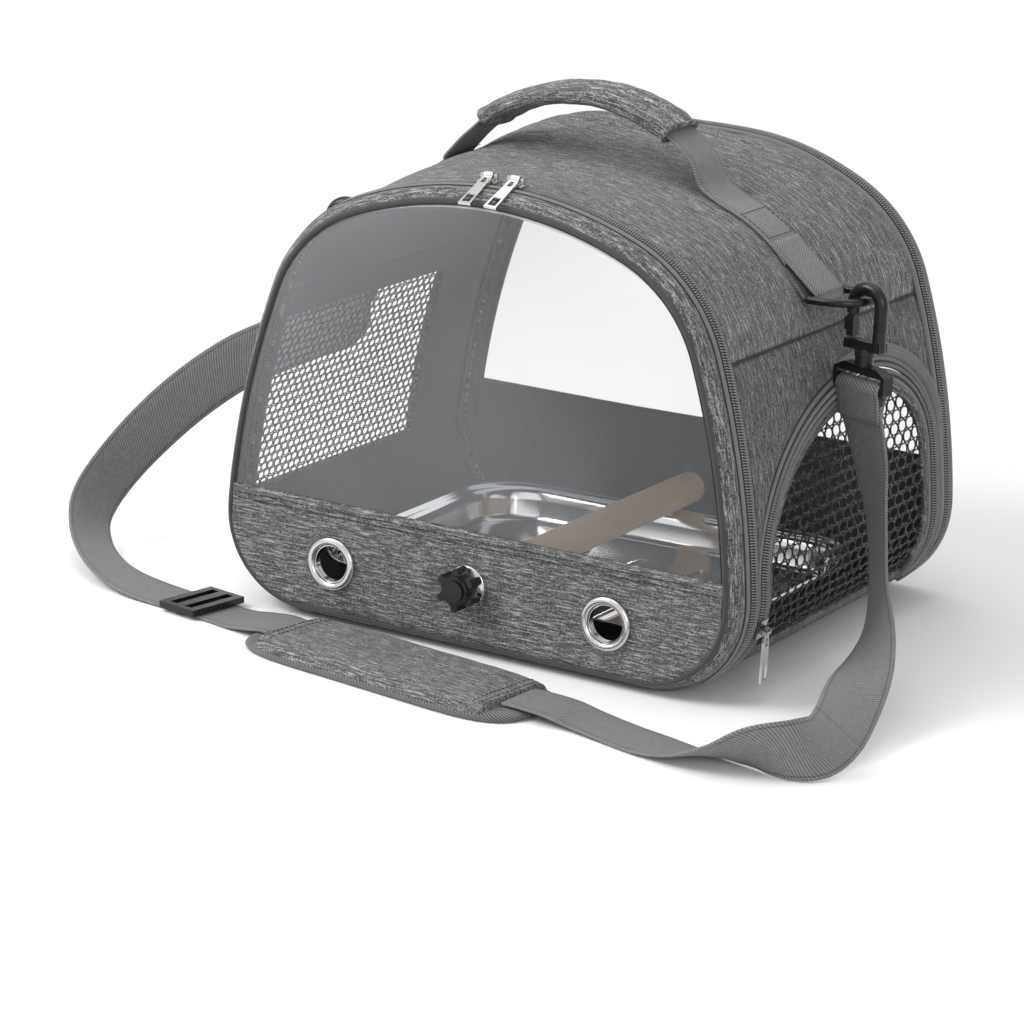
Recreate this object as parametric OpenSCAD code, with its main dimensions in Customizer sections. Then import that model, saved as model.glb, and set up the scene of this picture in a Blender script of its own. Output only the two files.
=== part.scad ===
/* [Body] */
// Depth over the two door faces
body_depth = 265; // [255:1:275]
// Half width of the flat of the floor, where the corner arcs begin
floor_half = 106; // [104:1:108]
// Radius of the lower corners
corner_r = 55; // [54:1:56]
// Radius of the slightly bowed side walls
wall_r = 480; // [470:5:490]
// Radius of the shoulders
shoulder_r = 86; // [84:1:88]
// Thickness of the padded fabric wall
wall_t = 3; // [2.5:0.1:3.5]
// Height of the seam between the roof and the side panels
roof_seam_z = 178; // [172:1:184]

/* [Doors] */
// Height of the seam between the front fabric strip and the clear window
front_strip_z = 69; // [64:1:74]
// Height of the top of the rear fabric strip
rear_strip_z = 79; // [74:1:84]
// How far a door face is drawn in from the body's outline
face_inset = 5; // [4:0.5:6]
// Distance of the front zip's centre line behind the front face
front_zip_in = 19.5; // [18:0.5:21]
// Distance of the rear zip's centre line before the rear face
rear_zip_in = 14.5; // [13:0.5:16]
// Half width of a zip, tape and coil together
zip_half = 5.5; // [5:0.5:6]
// Thickness of the clear window sheet
window_t = 0.8; // [0.6:0.1:1]

/* [Perch and grommets] */
// Diameter of the wooden perch
perch_d = 19; // [15:1:19]
// Height of the perch's axis
perch_z = 39; // [38:1:41]
// Length of the wooden perch
perch_len = 252; // [180:1:252]
// Bore of a vent grommet
grommet_bore = 20; // [18:1:21]
// Outer diameter of a vent grommet
grommet_od = 31; // [29:1:33]
// Sideways place of each vent grommet
grommet_x = 86; // [80:1:92]
// Height of the vent grommets
grommet_z = 35; // [33:1:38]

/* [Tray] */
// Outer width of the steel tray over its rim
tray_w = 252; // [240:1:256]
// Outer depth of the steel tray over its rim
tray_d = 216; // [205:1:218]
// Height of the tray's rim above its underside
tray_h = 22; // [18:1:23]

/* [Handle and strap] */
// Width of all the webbing
web_w = 32; // [30:1:32]
// Thickness of the webbing
web_t = 1.8; // [1.6:0.1:2]
// Distance between the two ends of the padded grip
grip_len = 124; // [116:1:128]
// Height of the grip's centre line at its highest point
grip_top_z = 287; // [284:1:289]
// Length of the shoulder pad
pad_len = 186; // [180:1:190]
// Width of the shoulder pad
pad_w = 66; // [62:1:68]
// Thickness of the shoulder pad at its crown
pad_t = 11; // [9:1:12]

/* [Hidden] */

// The body's outline is a chain of tangent arcs: corner, wall, shoulder, roof.
corner_end = 4;
wall_end = 19.4;
shoulder_end = 67.2;
function dir(a) = [cos(a), sin(a)];
corner_c = [floor_half, corner_r];
wall_c = corner_c - (wall_r - corner_r) * dir(corner_end);
shoulder_c = wall_c + (wall_r - shoulder_r) * dir(wall_end);
roof_r = shoulder_r + shoulder_c.x / cos(shoulder_end);
roof_c = shoulder_c - (roof_r - shoulder_r) * dir(shoulder_end);
roof_z = roof_c.y + roof_r;
function arc(c, r, a0, a1, n) =
    [for (i = [0:n - 1]) c + r * dir(a0 + (a1 - a0) * i / n)];
// The right half of the outline, drawn in by the distance in.
function half_outline(in) = concat(
    arc(corner_c, corner_r - in, -90, corner_end, 10),
    arc(wall_c, wall_r - in, corner_end, wall_end, 5),
    arc(shoulder_c, shoulder_r - in, wall_end, shoulder_end, 9),
    arc(roof_c, roof_r - in, shoulder_end, 90, 7));
function mirror_x(p) = [for (i = [len(p) - 1:-1:0]) [-p[i].x, p[i].y]];
function outline(in) =
    concat(half_outline(in), [[0, roof_z - in]], mirror_x(half_outline(in)));

front_y = -body_depth / 2;
rear_y = body_depth / 2;
front_zip_y = front_y + front_zip_in;
rear_zip_y = rear_y - rear_zip_in;
panel_front = front_zip_y + zip_half;
panel_rear = rear_zip_y - zip_half;
zip_gap = 0.5;       // half of the gap between the two halves of a zip
coil_w = 2.4;        // width of one row of the zip's coil
coil_t = 2.4;        // thickness of the coil
tape_t = 1;          // thickness of the zip's tape
door_low_z = 10.5;   // where the door bands and zips end above the floor
base_top_z = 10;     // where the base panel's corners end
seat_gap = 0.4;      // clearance between pieces that move apart
piping_r = 2;        // radius of the piping cord

fabric = [0.33, 0.33, 0.34];
lining = [0.2, 0.2, 0.21];
webbing = [0.42, 0.42, 0.43];
black_plastic = [0.05, 0.05, 0.05];
nickel = [0.78, 0.78, 0.76];

// A plate of the 2D shape given, which lies in X and Z, from y0 to y1.
module plate(y0, y1)
    translate([0, y1, 0]) rotate([90, 0, 0]) linear_extrude(y1 - y0) children();

// A ring of the body's outline, between the insets in0 and in1.
module ring(y0, y1, in0, in1)
    plate(y0, y1) difference() {
        polygon(outline(in0));
        polygon(outline(in1));
    }

// A block that spans all X, from y0 to y1 and from z0 to z1.
module band_z(z0, z1)
    translate([-250, -250, z0]) cube([500, 500, z1 - z0]);

module arch_ring(y0, y1, in0, in1, z0 = door_low_z)
    intersection() {
        ring(y0, y1, in0, in1);
        band_z(z0, 400);
    }

/* ---- Body panels ---- */
base_y = rear_y - 4.5;

module base_panel()
    color(fabric)
        intersection() {
            ring(-base_y, base_y, 0, wall_t);
            band_z(0, base_top_z);
        }

board_half = floor_half - 2;
board_t = 2.5;
module base_board()
    color(lining)
        translate([-board_half, panel_front, wall_t])
            cube([2 * board_half, panel_rear - panel_front, board_t]);

module roof_panel()
    color(fabric)
        intersection() {
            ring(panel_front, panel_rear, 0, wall_t);
            band_z(roof_seam_z, 400);
        }

// The rectangular mesh window of the left wall.
mesh_y0 = -101.3;
mesh_y1 = 62;
mesh_z0 = 58;
mesh_z1 = 160;
binding_w = 6;
module left_window_area(grow)
    translate([-200, mesh_y0 - grow, mesh_z0 - grow])
        cube([200, mesh_y1 - mesh_y0 + 2 * grow, mesh_z1 - mesh_z0 + 2 * grow]);

module side_wall(side)
    intersection() {
        ring(panel_front, panel_rear, 0, wall_t);
        translate([side > 0 ? 0 : -200, -200, base_top_z])
            cube([200, 400, roof_seam_z - base_top_z]);
    }

module side_panel_left()
    color(fabric)
        difference() {
            side_wall(-1);
            left_window_area(0);
        }

// The side door's zip line: straight legs, a long front curve and a short
// rear one, in Y and Z, drawn in by the distance in.
door_leg_front = -101;
door_leg_rear = 102;
door_front_z = 62;
door_rear_z = 98;
door_top = [40, 149];
door_bottom_z = 16;
function ellipse_arc(c, ry, rz, a0, a1, n) =
    [for (i = [0:n]) c + [ry * cos(a0 + (a1 - a0) * i / n),
        rz * sin(a0 + (a1 - a0) * i / n)]];
function door_outline(in, z_low) = concat(
    [[door_leg_rear - in, z_low]],
    ellipse_arc([door_top.x, door_rear_z], door_leg_rear - door_top.x - in,
        door_top.y - door_rear_z - in, 0, 90, 10),
    ellipse_arc([door_top.x, door_front_z], door_top.x - door_leg_front - in,
        door_top.y - door_front_z - in, 90, 180, 14),
    [[door_leg_front + in, z_low]]);
module door_area(in, z_low = door_bottom_z)
    translate([50, 0, 0]) rotate([90, 0, 90])
        linear_extrude(150) polygon(door_outline(in, z_low));

side_zip_half = 4.5;
module side_panel_right()
    color(fabric)
        difference() {
            side_wall(1);
            door_area(-side_zip_half, door_bottom_z);
        }

/* ---- Mesh ---- */
mesh_pitch_y = 11.5;
mesh_pitch_z = 8.5;
mesh_bar = 2;
mesh_t = 1.2;
mesh_in = 1;
// A net of bars in Y and Z, cut from the thin skin that the wall's outline gives.
module net(side, y0, y1, z0, z1, in0 = mesh_in) {
    rows = floor((z1 - z0) / mesh_pitch_z);
    columns = floor((y1 - y0) / mesh_pitch_y);
    difference() {
        intersection() {
            ring(y0, y1, in0, in0 + mesh_t);
            translate([side > 0 ? 0 : -200, y0, z0])
                cube([200, y1 - y0, z1 - z0]);
        }
        for (i = [0:columns - 1], k = [0:rows - 1])
            translate([side > 0 ? 100 : -200,
                y0 + mesh_bar + i * mesh_pitch_y, z0 + mesh_bar + k * mesh_pitch_z])
                cube([100, mesh_pitch_y - mesh_bar, mesh_pitch_z - mesh_bar]);
    }
}

module window_mesh_left()
    color(black_plastic)
        net(-1, mesh_y0 + 0.2, mesh_y1 - 0.2, mesh_z0 + 0.2, mesh_z1 - 0.2);

module mesh_binding_left()
    color(webbing)
        difference() {
            intersection() {
                ring(mesh_y0 - binding_w, mesh_y1 + binding_w, -1, 0);
                left_window_area(binding_w);
            }
            left_window_area(-1);
        }

door_panel_in = zip_gap + coil_w + 2;
module side_mesh()
    color(black_plastic)
        intersection() {
            net(1, door_leg_front, door_leg_rear, door_bottom_z + 1, door_top.y);
            door_area(door_panel_in + binding_w, door_bottom_z + 6);
        }

module side_mesh_binding()
    color(fabric)
        intersection() {
            ring(panel_front, panel_rear, 0, wall_t - 0.2);
            difference() {
                door_area(door_panel_in, door_bottom_z + 0.6);
                door_area(door_panel_in + binding_w, door_bottom_z + 6);
            }
        }

/* ---- Zips ---- */
// One half of a ring zip: a tape, and a row of coil at its inner edge.
module ring_zip_half(zip_y, side) {
    y_coil = side > 0 ? [zip_gap, zip_gap + coil_w] : [-zip_gap - coil_w, -zip_gap];
    y_tape = side > 0 ? [zip_gap + coil_w, zip_half] : [-zip_half, -zip_gap - coil_w];
    arch_ring(zip_y + y_coil[0], zip_y + y_coil[1],
        0.4 - coil_t / 2, 0.4 + coil_t / 2);
    arch_ring(zip_y + y_tape[0], zip_y + y_tape[1],
        0.4 - tape_t / 2, 0.4 + tape_t / 2);
}

module front_body_zip() color([0.45, 0.45, 0.45]) ring_zip_half(front_zip_y, 1);
module rear_body_zip() color([0.45, 0.45, 0.45]) ring_zip_half(rear_zip_y, -1);
module front_door_zip() color([0.45, 0.45, 0.45]) ring_zip_half(front_zip_y, -1);
module rear_door_zip() color([0.45, 0.45, 0.45]) ring_zip_half(rear_zip_y, 1);

module rear_body_piping()
    color(webbing)
        arch_ring(panel_rear - 4.5, panel_rear - 0.5, -1.6, 0, base_top_z);

// One half of the side door's zip, between two insets of the door's outline.
module side_zip_strip(in0, in1, t)
    intersection() {
        ring(panel_front, panel_rear, 0.4 - t / 2, 0.4 + t / 2);
        difference() {
            door_area(in0, door_bottom_z + 0.6);
            door_area(in1, door_bottom_z - 5);
        }
    }
module side_body_zip()
    color([0.45, 0.45, 0.45]) {
        side_zip_strip(-zip_gap - coil_w, -zip_gap, coil_t);
        side_zip_strip(-side_zip_half, -zip_gap - coil_w, tape_t);
    }
module side_door_zip()
    color([0.45, 0.45, 0.45]) {
        side_zip_strip(zip_gap, zip_gap + coil_w, coil_t);
        side_zip_strip(zip_gap + coil_w, door_panel_in, tape_t);
    }

/* ---- Front and rear doors ---- */
pane_in = face_inset + 2 * piping_r;
// A closed loop of piping round a door's face, half round in front.
module face_piping(y0, y1)
    ring(y0, y1, face_inset, pane_in);

module front_piping()
    color(webbing) {
        face_piping(front_y + 0.5, front_y + 3.5);
        ring(front_y, front_y + 0.5, face_inset + 1, pane_in - 1);
    }
module rear_piping()
    color(webbing) {
        face_piping(rear_y - 3.5, rear_y - 0.5);
        ring(rear_y - 0.5, rear_y, face_inset + 1, pane_in - 1);
    }

// The fabric band between a door's face and its zip: it tapers to the face.
module taper(y_face, y_zip, in) {
    thin = 0.1;
    y_low = min(y_face, y_zip);
    hull() {
        plate(min(y_face, y_face + thin), max(y_face, y_face + thin))
            polygon(outline(face_inset + in));
        plate(min(y_zip - thin, y_zip), max(y_zip - thin, y_zip))
            polygon(outline(in));
    }
}
module front_band()
    color(fabric)
        intersection() {
            difference() {
                taper(front_y + 3.6, front_zip_y - zip_half, 0);
                taper(front_y + 3.5, front_zip_y - zip_half + 0.1, 2.4);
            }
            band_z(door_low_z, 400);
        }
module rear_band()
    color(fabric)
        intersection() {
            difference() {
                taper(rear_y - 3.7, rear_zip_y + zip_half + 0.1, 0);
                taper(rear_y - 3.6, rear_zip_y + zip_half, 2.4);
            }
            band_z(door_low_z, 400);
        }

strip_t = 2;
module face_part(y0, y1, z0, z1)
    intersection() {
        plate(y0, y1) polygon(outline(pane_in + 0.05));
        band_z(z0, z1);
    }
module front_window()
    color([0.85, 0.9, 0.92, 0.35])
        face_part(front_y + 1.2, front_y + 1.2 + window_t, front_strip_z, 400);
module front_strip()
    color(fabric)
        difference() {
            face_part(front_y + 0.8, front_y + 0.8 + strip_t, 0, front_strip_z - 0.05);
            for (s = [-1, 1])
                translate([s * grommet_x, front_y - 5, grommet_z])
                    rotate([-90, 0, 0]) cylinder(d = grommet_bore + 4, h = 20, $fn = 64);
            translate([0, front_y - 5, perch_z])
                rotate([-90, 0, 0]) cylinder(d = bolt_d + 0.4, h = 20, $fn = 48);
        }
module rear_window()
    color([0.85, 0.9, 0.92, 0.35])
        face_part(rear_y - 1.2 - window_t, rear_y - 1.2, rear_strip_z, 400);
module rear_strip()
    color(fabric)
        face_part(rear_y - 0.8 - strip_t, rear_y - 0.8, 0, rear_strip_z - 0.05);

/* ---- Grommets, perch and knob ---- */
// A vent grommet: rolled outer lip, neck through the strip, flat inner washer.
module grommet(x)
    color(nickel)
        translate([x, front_y + 0.8, grommet_z]) rotate([-90, 0, 0])
            rotate_extrude($fn = 64) {
                lip = (grommet_od - grommet_bore) / 2;
                translate([grommet_bore / 2, -0.05]) square([1.6, strip_t + 0.1]);
                translate([grommet_bore / 2, -1.2]) square([lip - 1, 1.15]);
                translate([grommet_bore / 2 + lip / 2, -1.2])
                    intersection() {
                        circle(r = lip / 2 - 0.5, $fn = 32);
                        translate([-lip, -lip]) square([2 * lip, lip]);
                    }
                translate([grommet_bore / 2, strip_t + 0.05]) square([lip - 1, 0.9]);
            }
module grommet_left() grommet(-grommet_x);
module grommet_right() grommet(grommet_x);

bolt_d = 5;
washer_d = 20;
washer_t = 1.6;
strip_back = front_y + 0.8 + strip_t;
// A domed washer on each side of the strip.
module perch_washer()
    color(nickel)
        for (y = [front_y + 0.75 - washer_t, strip_back + 0.05])
            translate([0, y, perch_z]) rotate([-90, 0, 0]) difference() {
                cylinder(d = washer_d, h = washer_t, $fn = 64);
                translate([0, 0, -1]) cylinder(d = bolt_d + 0.4, h = 5, $fn = 48);
            }
knob_h = 12;
knob_back = front_y + 0.75 - washer_t - seat_gap;
bolt_tip = knob_back - knob_h + 3;
perch_front = strip_back + 0.1 + washer_t;
thread_in = 22;
module perch_bolt()
    color(nickel)
        translate([0, bolt_tip, perch_z]) rotate([-90, 0, 0])
            cylinder(d = bolt_d, h = perch_front - bolt_tip + thread_in, $fn = 48);
module perch()
    color([0.74, 0.6, 0.46])
        translate([0, perch_front, perch_z]) rotate([-90, 0, 0]) difference() {
            union() {
                cylinder(d = perch_d, h = perch_len - 2, $fn = 64);
                translate([0, 0, perch_len - 2])
                    cylinder(d1 = perch_d, d2 = perch_d - 3, h = 2, $fn = 64);
            }
            translate([0, 0, -1]) cylinder(d = bolt_d + 0.1, h = thread_in + 1.2, $fn = 48);
        }
knob_lobe_r = 3.6;
knob_hub_r = 8.4;
module perch_knob()
    color(black_plastic)
        translate([0, knob_back, perch_z]) rotate([90, 0, 0]) difference() {
            union() {
                cylinder(r = knob_hub_r, h = knob_h, $fn = 64);
                cylinder(r = 6, h = knob_h + 1.5, $fn = 48);
                for (i = [0:5]) rotate(i * 60 + 30)
                    translate([knob_hub_r - 0.2, 0, 1.5])
                        cylinder(r = knob_lobe_r, h = knob_h - 2.5, $fn = 32);
            }
            for (i = [0:5]) rotate(i * 60)
                translate([knob_hub_r + 2.6, 0, -1])
                    cylinder(r = 3.6, h = knob_h + 5, $fn = 32);
            translate([0, 0, -1])
                cylinder(d = bolt_d + 0.1, h = knob_h - 1.8, $fn = 48);
        }

/* ---- Tray ---- */
tray_z = wall_t + board_t + 0.1;
tray_corner = 42;
tray_wall = 1;
tray_slope = 8;
module tray_shape(in)
    // a rectangle with round corners, as a polygon
    polygon([for (q = [0:3], i = [0:8])
        let (sx = (q == 0 || q == 3) ? 1 : -1, sy = q < 2 ? 1 : -1,
            a = q * 90 + i * 90 / 8, r = tray_corner - in)
        [sx * (tray_w / 2 - tray_corner) + r * cos(a),
            sy * (tray_d / 2 - tray_corner) + r * sin(a)]]);
// A pan with stepped walls, a rolled rim and pressed ribs across its floor.
module tray()
    color(nickel)
        translate([0, 1, tray_z]) {
            difference() {
                union() {
                    linear_extrude(tray_h) tray_shape(tray_slope);
                    translate([0, 0, tray_h - 3]) linear_extrude(3) tray_shape(0);
                }
                translate([0, 0, tray_wall])
                    linear_extrude(tray_h) tray_shape(tray_slope + tray_wall);
                translate([0, 0, tray_h - 1.8])
                    linear_extrude(1) tray_shape(2);
            }
            for (x = [-72, -36, 0, 36, 72])
                translate([x - 3, -tray_d / 2 + 38, tray_wall])
                    cube([6, tray_d - 76, 1.4]);
        }

/* ---- Handle ---- */
bow_x = -10;
bow_drop = 20;
bow_half = grip_len / 2;
bow_r = (bow_half * bow_half + bow_drop * bow_drop) / (2 * bow_drop);
bow_c = [bow_x, grip_top_z - bow_r];
bow_a = asin(bow_half / bow_r);
lift = web_t / 2 + 0.15;
web_end_a = 41;
// Where the webbing leaves the roof and climbs to the grip, on each side.
climb_right = [[72, 243.4], [66, 247.5], [63, 253], [59.5, 260]];
climb_left = [[-79, 260], [-84.5, 252], [-88, 245], [-94, 236.5]];
function roof_arc(a0, a1, n) = [for (i = [0:n]) roof_c + (roof_r + lift) * dir(a0 + (a1 - a0) * i / n)];
function shoulder_arc(a0, a1, n) =
    [for (i = [0:n]) shoulder_c + (shoulder_r + lift) * dir(a0 + (a1 - a0) * i / n)];
function unit(v) = v / norm(v);
function side_normal(p, i) =
    let (a = p[max(i - 1, 0)], b = p[min(i + 1, len(p) - 1)], d = unit(b - a))
    [-d.y, d.x];
// A ribbon of thickness t that follows points in X and Z.
module ribbon(p, t, y0, y1) {
    upper = [for (i = [0:len(p) - 1]) p[i] + side_normal(p, i) * t / 2];
    lower = [for (i = [len(p) - 1:-1:0]) p[i] - side_normal(p, i) * t / 2];
    plate(y0, y1) polygon(concat(upper, lower));
}
handle_route = concat(
    shoulder_arc(web_end_a, shoulder_end - 3, 8),
    roof_arc(shoulder_end, 69.5, 2),
    climb_right,
    [for (i = [0:16]) bow_c + bow_r * dir(90 - bow_a + 2 * bow_a * i / 16)],
    climb_left,
    mirror_x(shoulder_arc(web_end_a, shoulder_end - 5, 8)));
module handle_webbing()
    color(webbing) ribbon(handle_route, web_t, -web_w / 2, web_w / 2);

grip_w = 37;
grip_t = 12;
function grip_profile() =
    [for (i = [0:31]) let (a = i * 360 / 32, s = 0.7)
        [bow_r + grip_t / 2 * sign(cos(a)) * pow(abs(cos(a)), s),
            grip_w / 2 * sign(sin(a)) * pow(abs(sin(a)), s * 0.7)]];
grip_short = 10 / bow_r * 180 / PI;     // the sleeve stops 10 mm short of the bow's right end
module bow_sweep(a, short = 0)
    translate([bow_c.x, 0, bow_c.y]) rotate([90, 0, 0])
        rotate([0, 0, 90 - a + short])
            rotate_extrude(angle = 2 * a - short, $fn = 96) children();
module handle_grip()
    color(fabric)
        difference() {
            bow_sweep(bow_a, grip_short) polygon(grip_profile());
            bow_sweep(bow_a + 3)
                translate([bow_r - web_t / 2 - 0.25, -web_w / 2 - 0.3])
                    square([web_t + 0.5, web_w + 0.6]);
        }

/* ---- D-rings and snap hooks ---- */
bar_c = [136, 197];         // the D-ring's straight bar, in X and Z
ring_wire = 2.2;
loop_in = ring_wire + 0.3;
hook_turn = -12;            // how far the hooks are turned on their swivels
hook_c = [165, -6];         // the swivel's axis, in X and Y
hook_top_z = 196.5;         // centre of the hook's upper bend
hook_bend = 9;
hook_wire = 4;
base_z = 150;
base_turn = -20;
base_w = 38;
base_h = 14;
base_t = 7;

module on_side(side)
    mirror([side > 0 ? 0 : 1, 0, 0]) children();

// The webbing turned round the D-ring's bar and sewn down on itself.
module webbing_loop(side)
    color(webbing) on_side(side) {
        start = shoulder_c + (shoulder_r + lift) * dir(web_end_a - 0.4);
        plate(-web_w / 2, web_w / 2) difference() {
            union() {
                translate(bar_c) circle(r = loop_in + web_t, $fn = 48);
                polygon([start + [-0.6, -0.7], start + [0.6, 0.7],
                    bar_c + [2.9, 3.2], bar_c + [-3.2, -2.9]]);
            }
            translate(bar_c) circle(r = loop_in, $fn = 48);
        }
    }
module webbing_loop_left() webbing_loop(-1);
module webbing_loop_right() webbing_loop(1);

ring_reach = 29.2;
ring_half = 18.5;
// A moulded D: straight bar in the loop, two arms and a rounded nose.
module d_ring(side)
    color(black_plastic) on_side(side)
        translate([bar_c.x, 0, bar_c.y]) rotate([0, -2, 0]) {
            rotate([90, 0, 0])
                cylinder(r = ring_wire, h = 2 * ring_half, center = true, $fn = 32);
            for (s = [-1, 1]) {
                translate([0, s * ring_half, 0]) sphere(r = ring_wire + 0.1, $fn = 32);
                translate([0, s * ring_half, 0]) rotate([0, 90, 0])
                    cylinder(r = ring_wire, h = ring_reach - ring_half, $fn = 32);
            }
            translate([ring_reach - ring_half, 0, 0]) rotate([0, 0, -90])
                rotate_extrude(angle = 180, $fn = 64)
                    translate([ring_half, 0]) circle(r = ring_wire, $fn = 32);
        }
module d_ring_left() d_ring(-1);
module d_ring_right() d_ring(1);

// The swivel's lower part: a frame whose slot takes the strap.
module hook_base(side)
    color(black_plastic) on_side(side)
        translate([hook_c.x, hook_c.y, base_z]) {
            rotate([0, 0, base_turn]) {
                plate(-base_t / 2, base_t / 2) difference() {
                    polygon([[base_w / 2, 1], [base_w / 2, base_h - 3.5],
                        [base_w / 2 - 6.5, base_h], [6.5 - base_w / 2, base_h],
                        [-base_w / 2, base_h - 3.5], [-base_w / 2, 1],
                        [1 - base_w / 2, 0], [base_w / 2 - 1, 0]]);
                    translate([2.6 - base_w / 2, 3.4]) square([base_w - 5.2, 6]);
                }
            }
            translate([0, 0, base_h - 0.5]) cylinder(r = 5, h = 5.5, $fn = 48);
        }
module hook_base_left() hook_base(-1);
module hook_base_right() hook_base(1);

collar_z = base_z + base_h + 5 + 0.3;
tip_z = 191;
gate_top_z = tip_z - 0.9;
// The swivel's upper part: collar, shank and the bend that takes the ring.
module snap_hook(side)
    color(black_plastic) on_side(side)
        translate([hook_c.x, hook_c.y, 0]) rotate([0, 0, hook_turn]) {
            translate([0, 0, collar_z]) cylinder(r = 5.5, h = 4, $fn = 48);
            translate([-hook_bend - 3, -3.5, collar_z + 3])
                cube([2 * hook_bend + 6, 7, 5]);
            translate([hook_bend, 0, collar_z + 3])
                cylinder(r = hook_wire - 0.3, h = hook_top_z - collar_z - 3, $fn = 32);
            translate([0, 0, hook_top_z]) rotate([90, 0, 0])
                rotate_extrude(angle = 180, $fn = 64)
                    translate([hook_bend, 0]) circle(r = hook_wire - 0.3, $fn = 32);
            translate([-hook_bend, 0, tip_z])
                cylinder(r = hook_wire - 0.3, h = hook_top_z - tip_z, $fn = 32);
        }
module snap_hook_left() snap_hook(-1);
module snap_hook_right() snap_hook(1);

gate_z = collar_z + 9.2;
// The sprung gate with its thumb tab, between the crosspiece and the tip.
module hook_gate(side)
    color(black_plastic) on_side(side)
        translate([hook_c.x, hook_c.y, 0]) rotate([0, 0, hook_turn]) {
            translate([-hook_bend - 2.4, -2.6, gate_z])
                cube([4.4, 5.2, gate_top_z - gate_z]);
            translate([-hook_bend - 4.2, -2.2, gate_z + 3]) cube([2, 4.4, 7]);
        }
module hook_gate_left() hook_gate(-1);
module hook_gate_right() hook_gate(1);

/* ---- Shoulder strap: each point is [x, y, z] and the way the width lies ---- */
strap_right_route = [
    [[165, -6, 144.6], [0.94, -0.34, 0]],
    [[165.2, -6, 139], [0.94, -0.35, 0]],
    [[169.5, -6, 125], [0.9, -0.42, -0.1]],
    [[175, -8, 109], [0.84, -0.54, -0.05]],
    [[182, -14, 89], [0.7, -0.7, 0.1]],
    [[190, -25, 68], [0.62, -0.76, 0.2]],
    [[199, -42, 50], [0.6, -0.78, 0.2]],
    [[208, -63, 37], [0.66, -0.74, 0.1]],
    [[217, -91, 27], [0.76, -0.64, -0.05]],
    [[228, -130, 19.5], [0.82, -0.45, -0.35]],
    [[236, -160, 16.4], [0.8, -0.1, -0.6]]];
strap_front_route = [
    [[236.5, -162, 16.2], [0.8, -0.1, -0.6]],
    [[239, -186, 15.5], [0.5, -0.1, -0.86]],
    [[232, -202, 16.5], [0.15, 0.1, -0.95]],
    [[216, -209, 15], [0, 0.45, -0.87]],
    [[197, -210, 8.8], [0, 0.85, -0.5]],
    [[176, -207, 3.6], [0.05, 0.98, -0.18]],
    [[153, -202, 1.6], [0.08, 0.99, 0]],
    [[130, -196, 1.6], [0.1, 0.99, 0]],
    [[110, -192, 3], [0.12, 0.99, 0]],
    [[92, -192, 6.2], [0.13, 0.99, 0]],
    [[68.5, -190.6, 6.6], [0.14, 0.99, 0]]];
strap_left_route = [
    [[-165, -6, 144.2], [-0.94, -0.34, 0]],
    [[-165, -6, 139.5], [-0.94, -0.34, 0.02]],
    [[-169, -6.6, 134.8], [-0.86, -0.3, 0.38]],
    [[-176, -7.9, 131], [-0.7, -0.25, 0.64]],
    [[-186, -9.6, 126.6], [-0.58, -0.2, 0.77]],
    [[-203, -13, 118], [-0.4, -0.1, 0.9]],
    [[-228, -20, 104], [-0.35, -0.1, 0.93]],
    [[-253, -31, 83], [-0.38, -0.2, 0.9]],
    [[-272, -46, 60], [-0.42, -0.35, 0.82]],
    [[-281, -68, 39], [-0.4, -0.55, 0.7]],
    [[-277, -93, 25], [-0.3, -0.75, 0.55]],
    [[-263, -113, 15.5], [-0.22, -0.88, 0.4]],
    [[-243, -130, 9], [-0.2, -0.94, 0.25]],
    [[-222, -141, 4.8], [-0.18, -0.97, 0.1]],
    [[-200, -147, 2.2], [-0.15, -0.98, 0]],
    [[-178, -150, 1.3], [-0.1, -0.99, 0]],
    [[-157, -153, 1.2], [0, -1, 0]],
    [[-131, -157.5, 1.2], [0.08, -0.99, 0]],
    [[-114, -162, 3.8], [0.12, -0.99, 0]],
    [[-100, -165, 6], [0.14, -0.99, 0]],
    [[-88.5, -168.6, 6.6], [0.14, -0.99, 0]]];
function spline(a, b, c, d, t) =
    b + 0.5 * t * (c - a + t * (2 * a - 5 * b + 4 * c - d + t * (3 * (b - c) + d - a)));
function smooth_route(r, n) = concat(
    [for (i = [0:len(r) - 2], k = [0:n - 1])
        [for (j = [0, 1]) spline(r[max(i - 1, 0)][j], r[i][j], r[i + 1][j],
            r[min(i + 2, len(r) - 1)][j], k / n)]],
    [r[len(r) - 1]]);
web_edge = 0.5;
strap_section = [[web_w / 2, web_edge], [web_w / 2 - 1, web_t / 2],
    [-web_w / 2 + 1, web_t / 2], [-web_w / 2, web_edge],
    [-web_w / 2, -web_edge], [-web_w / 2 + 1, -web_t / 2],
    [web_w / 2 - 1, -web_t / 2], [web_w / 2, -web_edge]];
// A flat tube of webbing swept along a route.
module strap(route) {
    r = smooth_route(route, 3);
    n = len(r);
    m = len(strap_section);
    rings = [for (i = [0:n - 1])
        let (along = unit(r[min(i + 1, n - 1)][0] - r[max(i - 1, 0)][0]),
            flat = unit(cross(along, r[i][1])), across = cross(flat, along))
        for (q = strap_section) r[i][0] + across * q.x + flat * q.y];
    // Both faces are split along the same diagonal, so that they never cross.
    sides = [for (i = [0:n - 2], k = [0:m - 1])
        let (a = i * m + k, b = i * m + (k + 1) % m, c = b + m, d = a + m)
        each (k < m / 2 ? [[a, b, d], [b, c, d]] : [[a, b, c], [a, c, d]])];
    first = [for (k = [1:m - 2]) [0, k + 1, k]];
    last = [for (k = [1:m - 2]) [(n - 1) * m, (n - 1) * m + k, (n - 1) * m + k + 1]];
    polyhedron(rings, concat(sides, first, last));
}
module strap_right() color(webbing) strap(strap_right_route);
module strap_front() color(webbing) strap(strap_front_route);
module strap_left() color(webbing) strap(strap_left_route);

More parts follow.
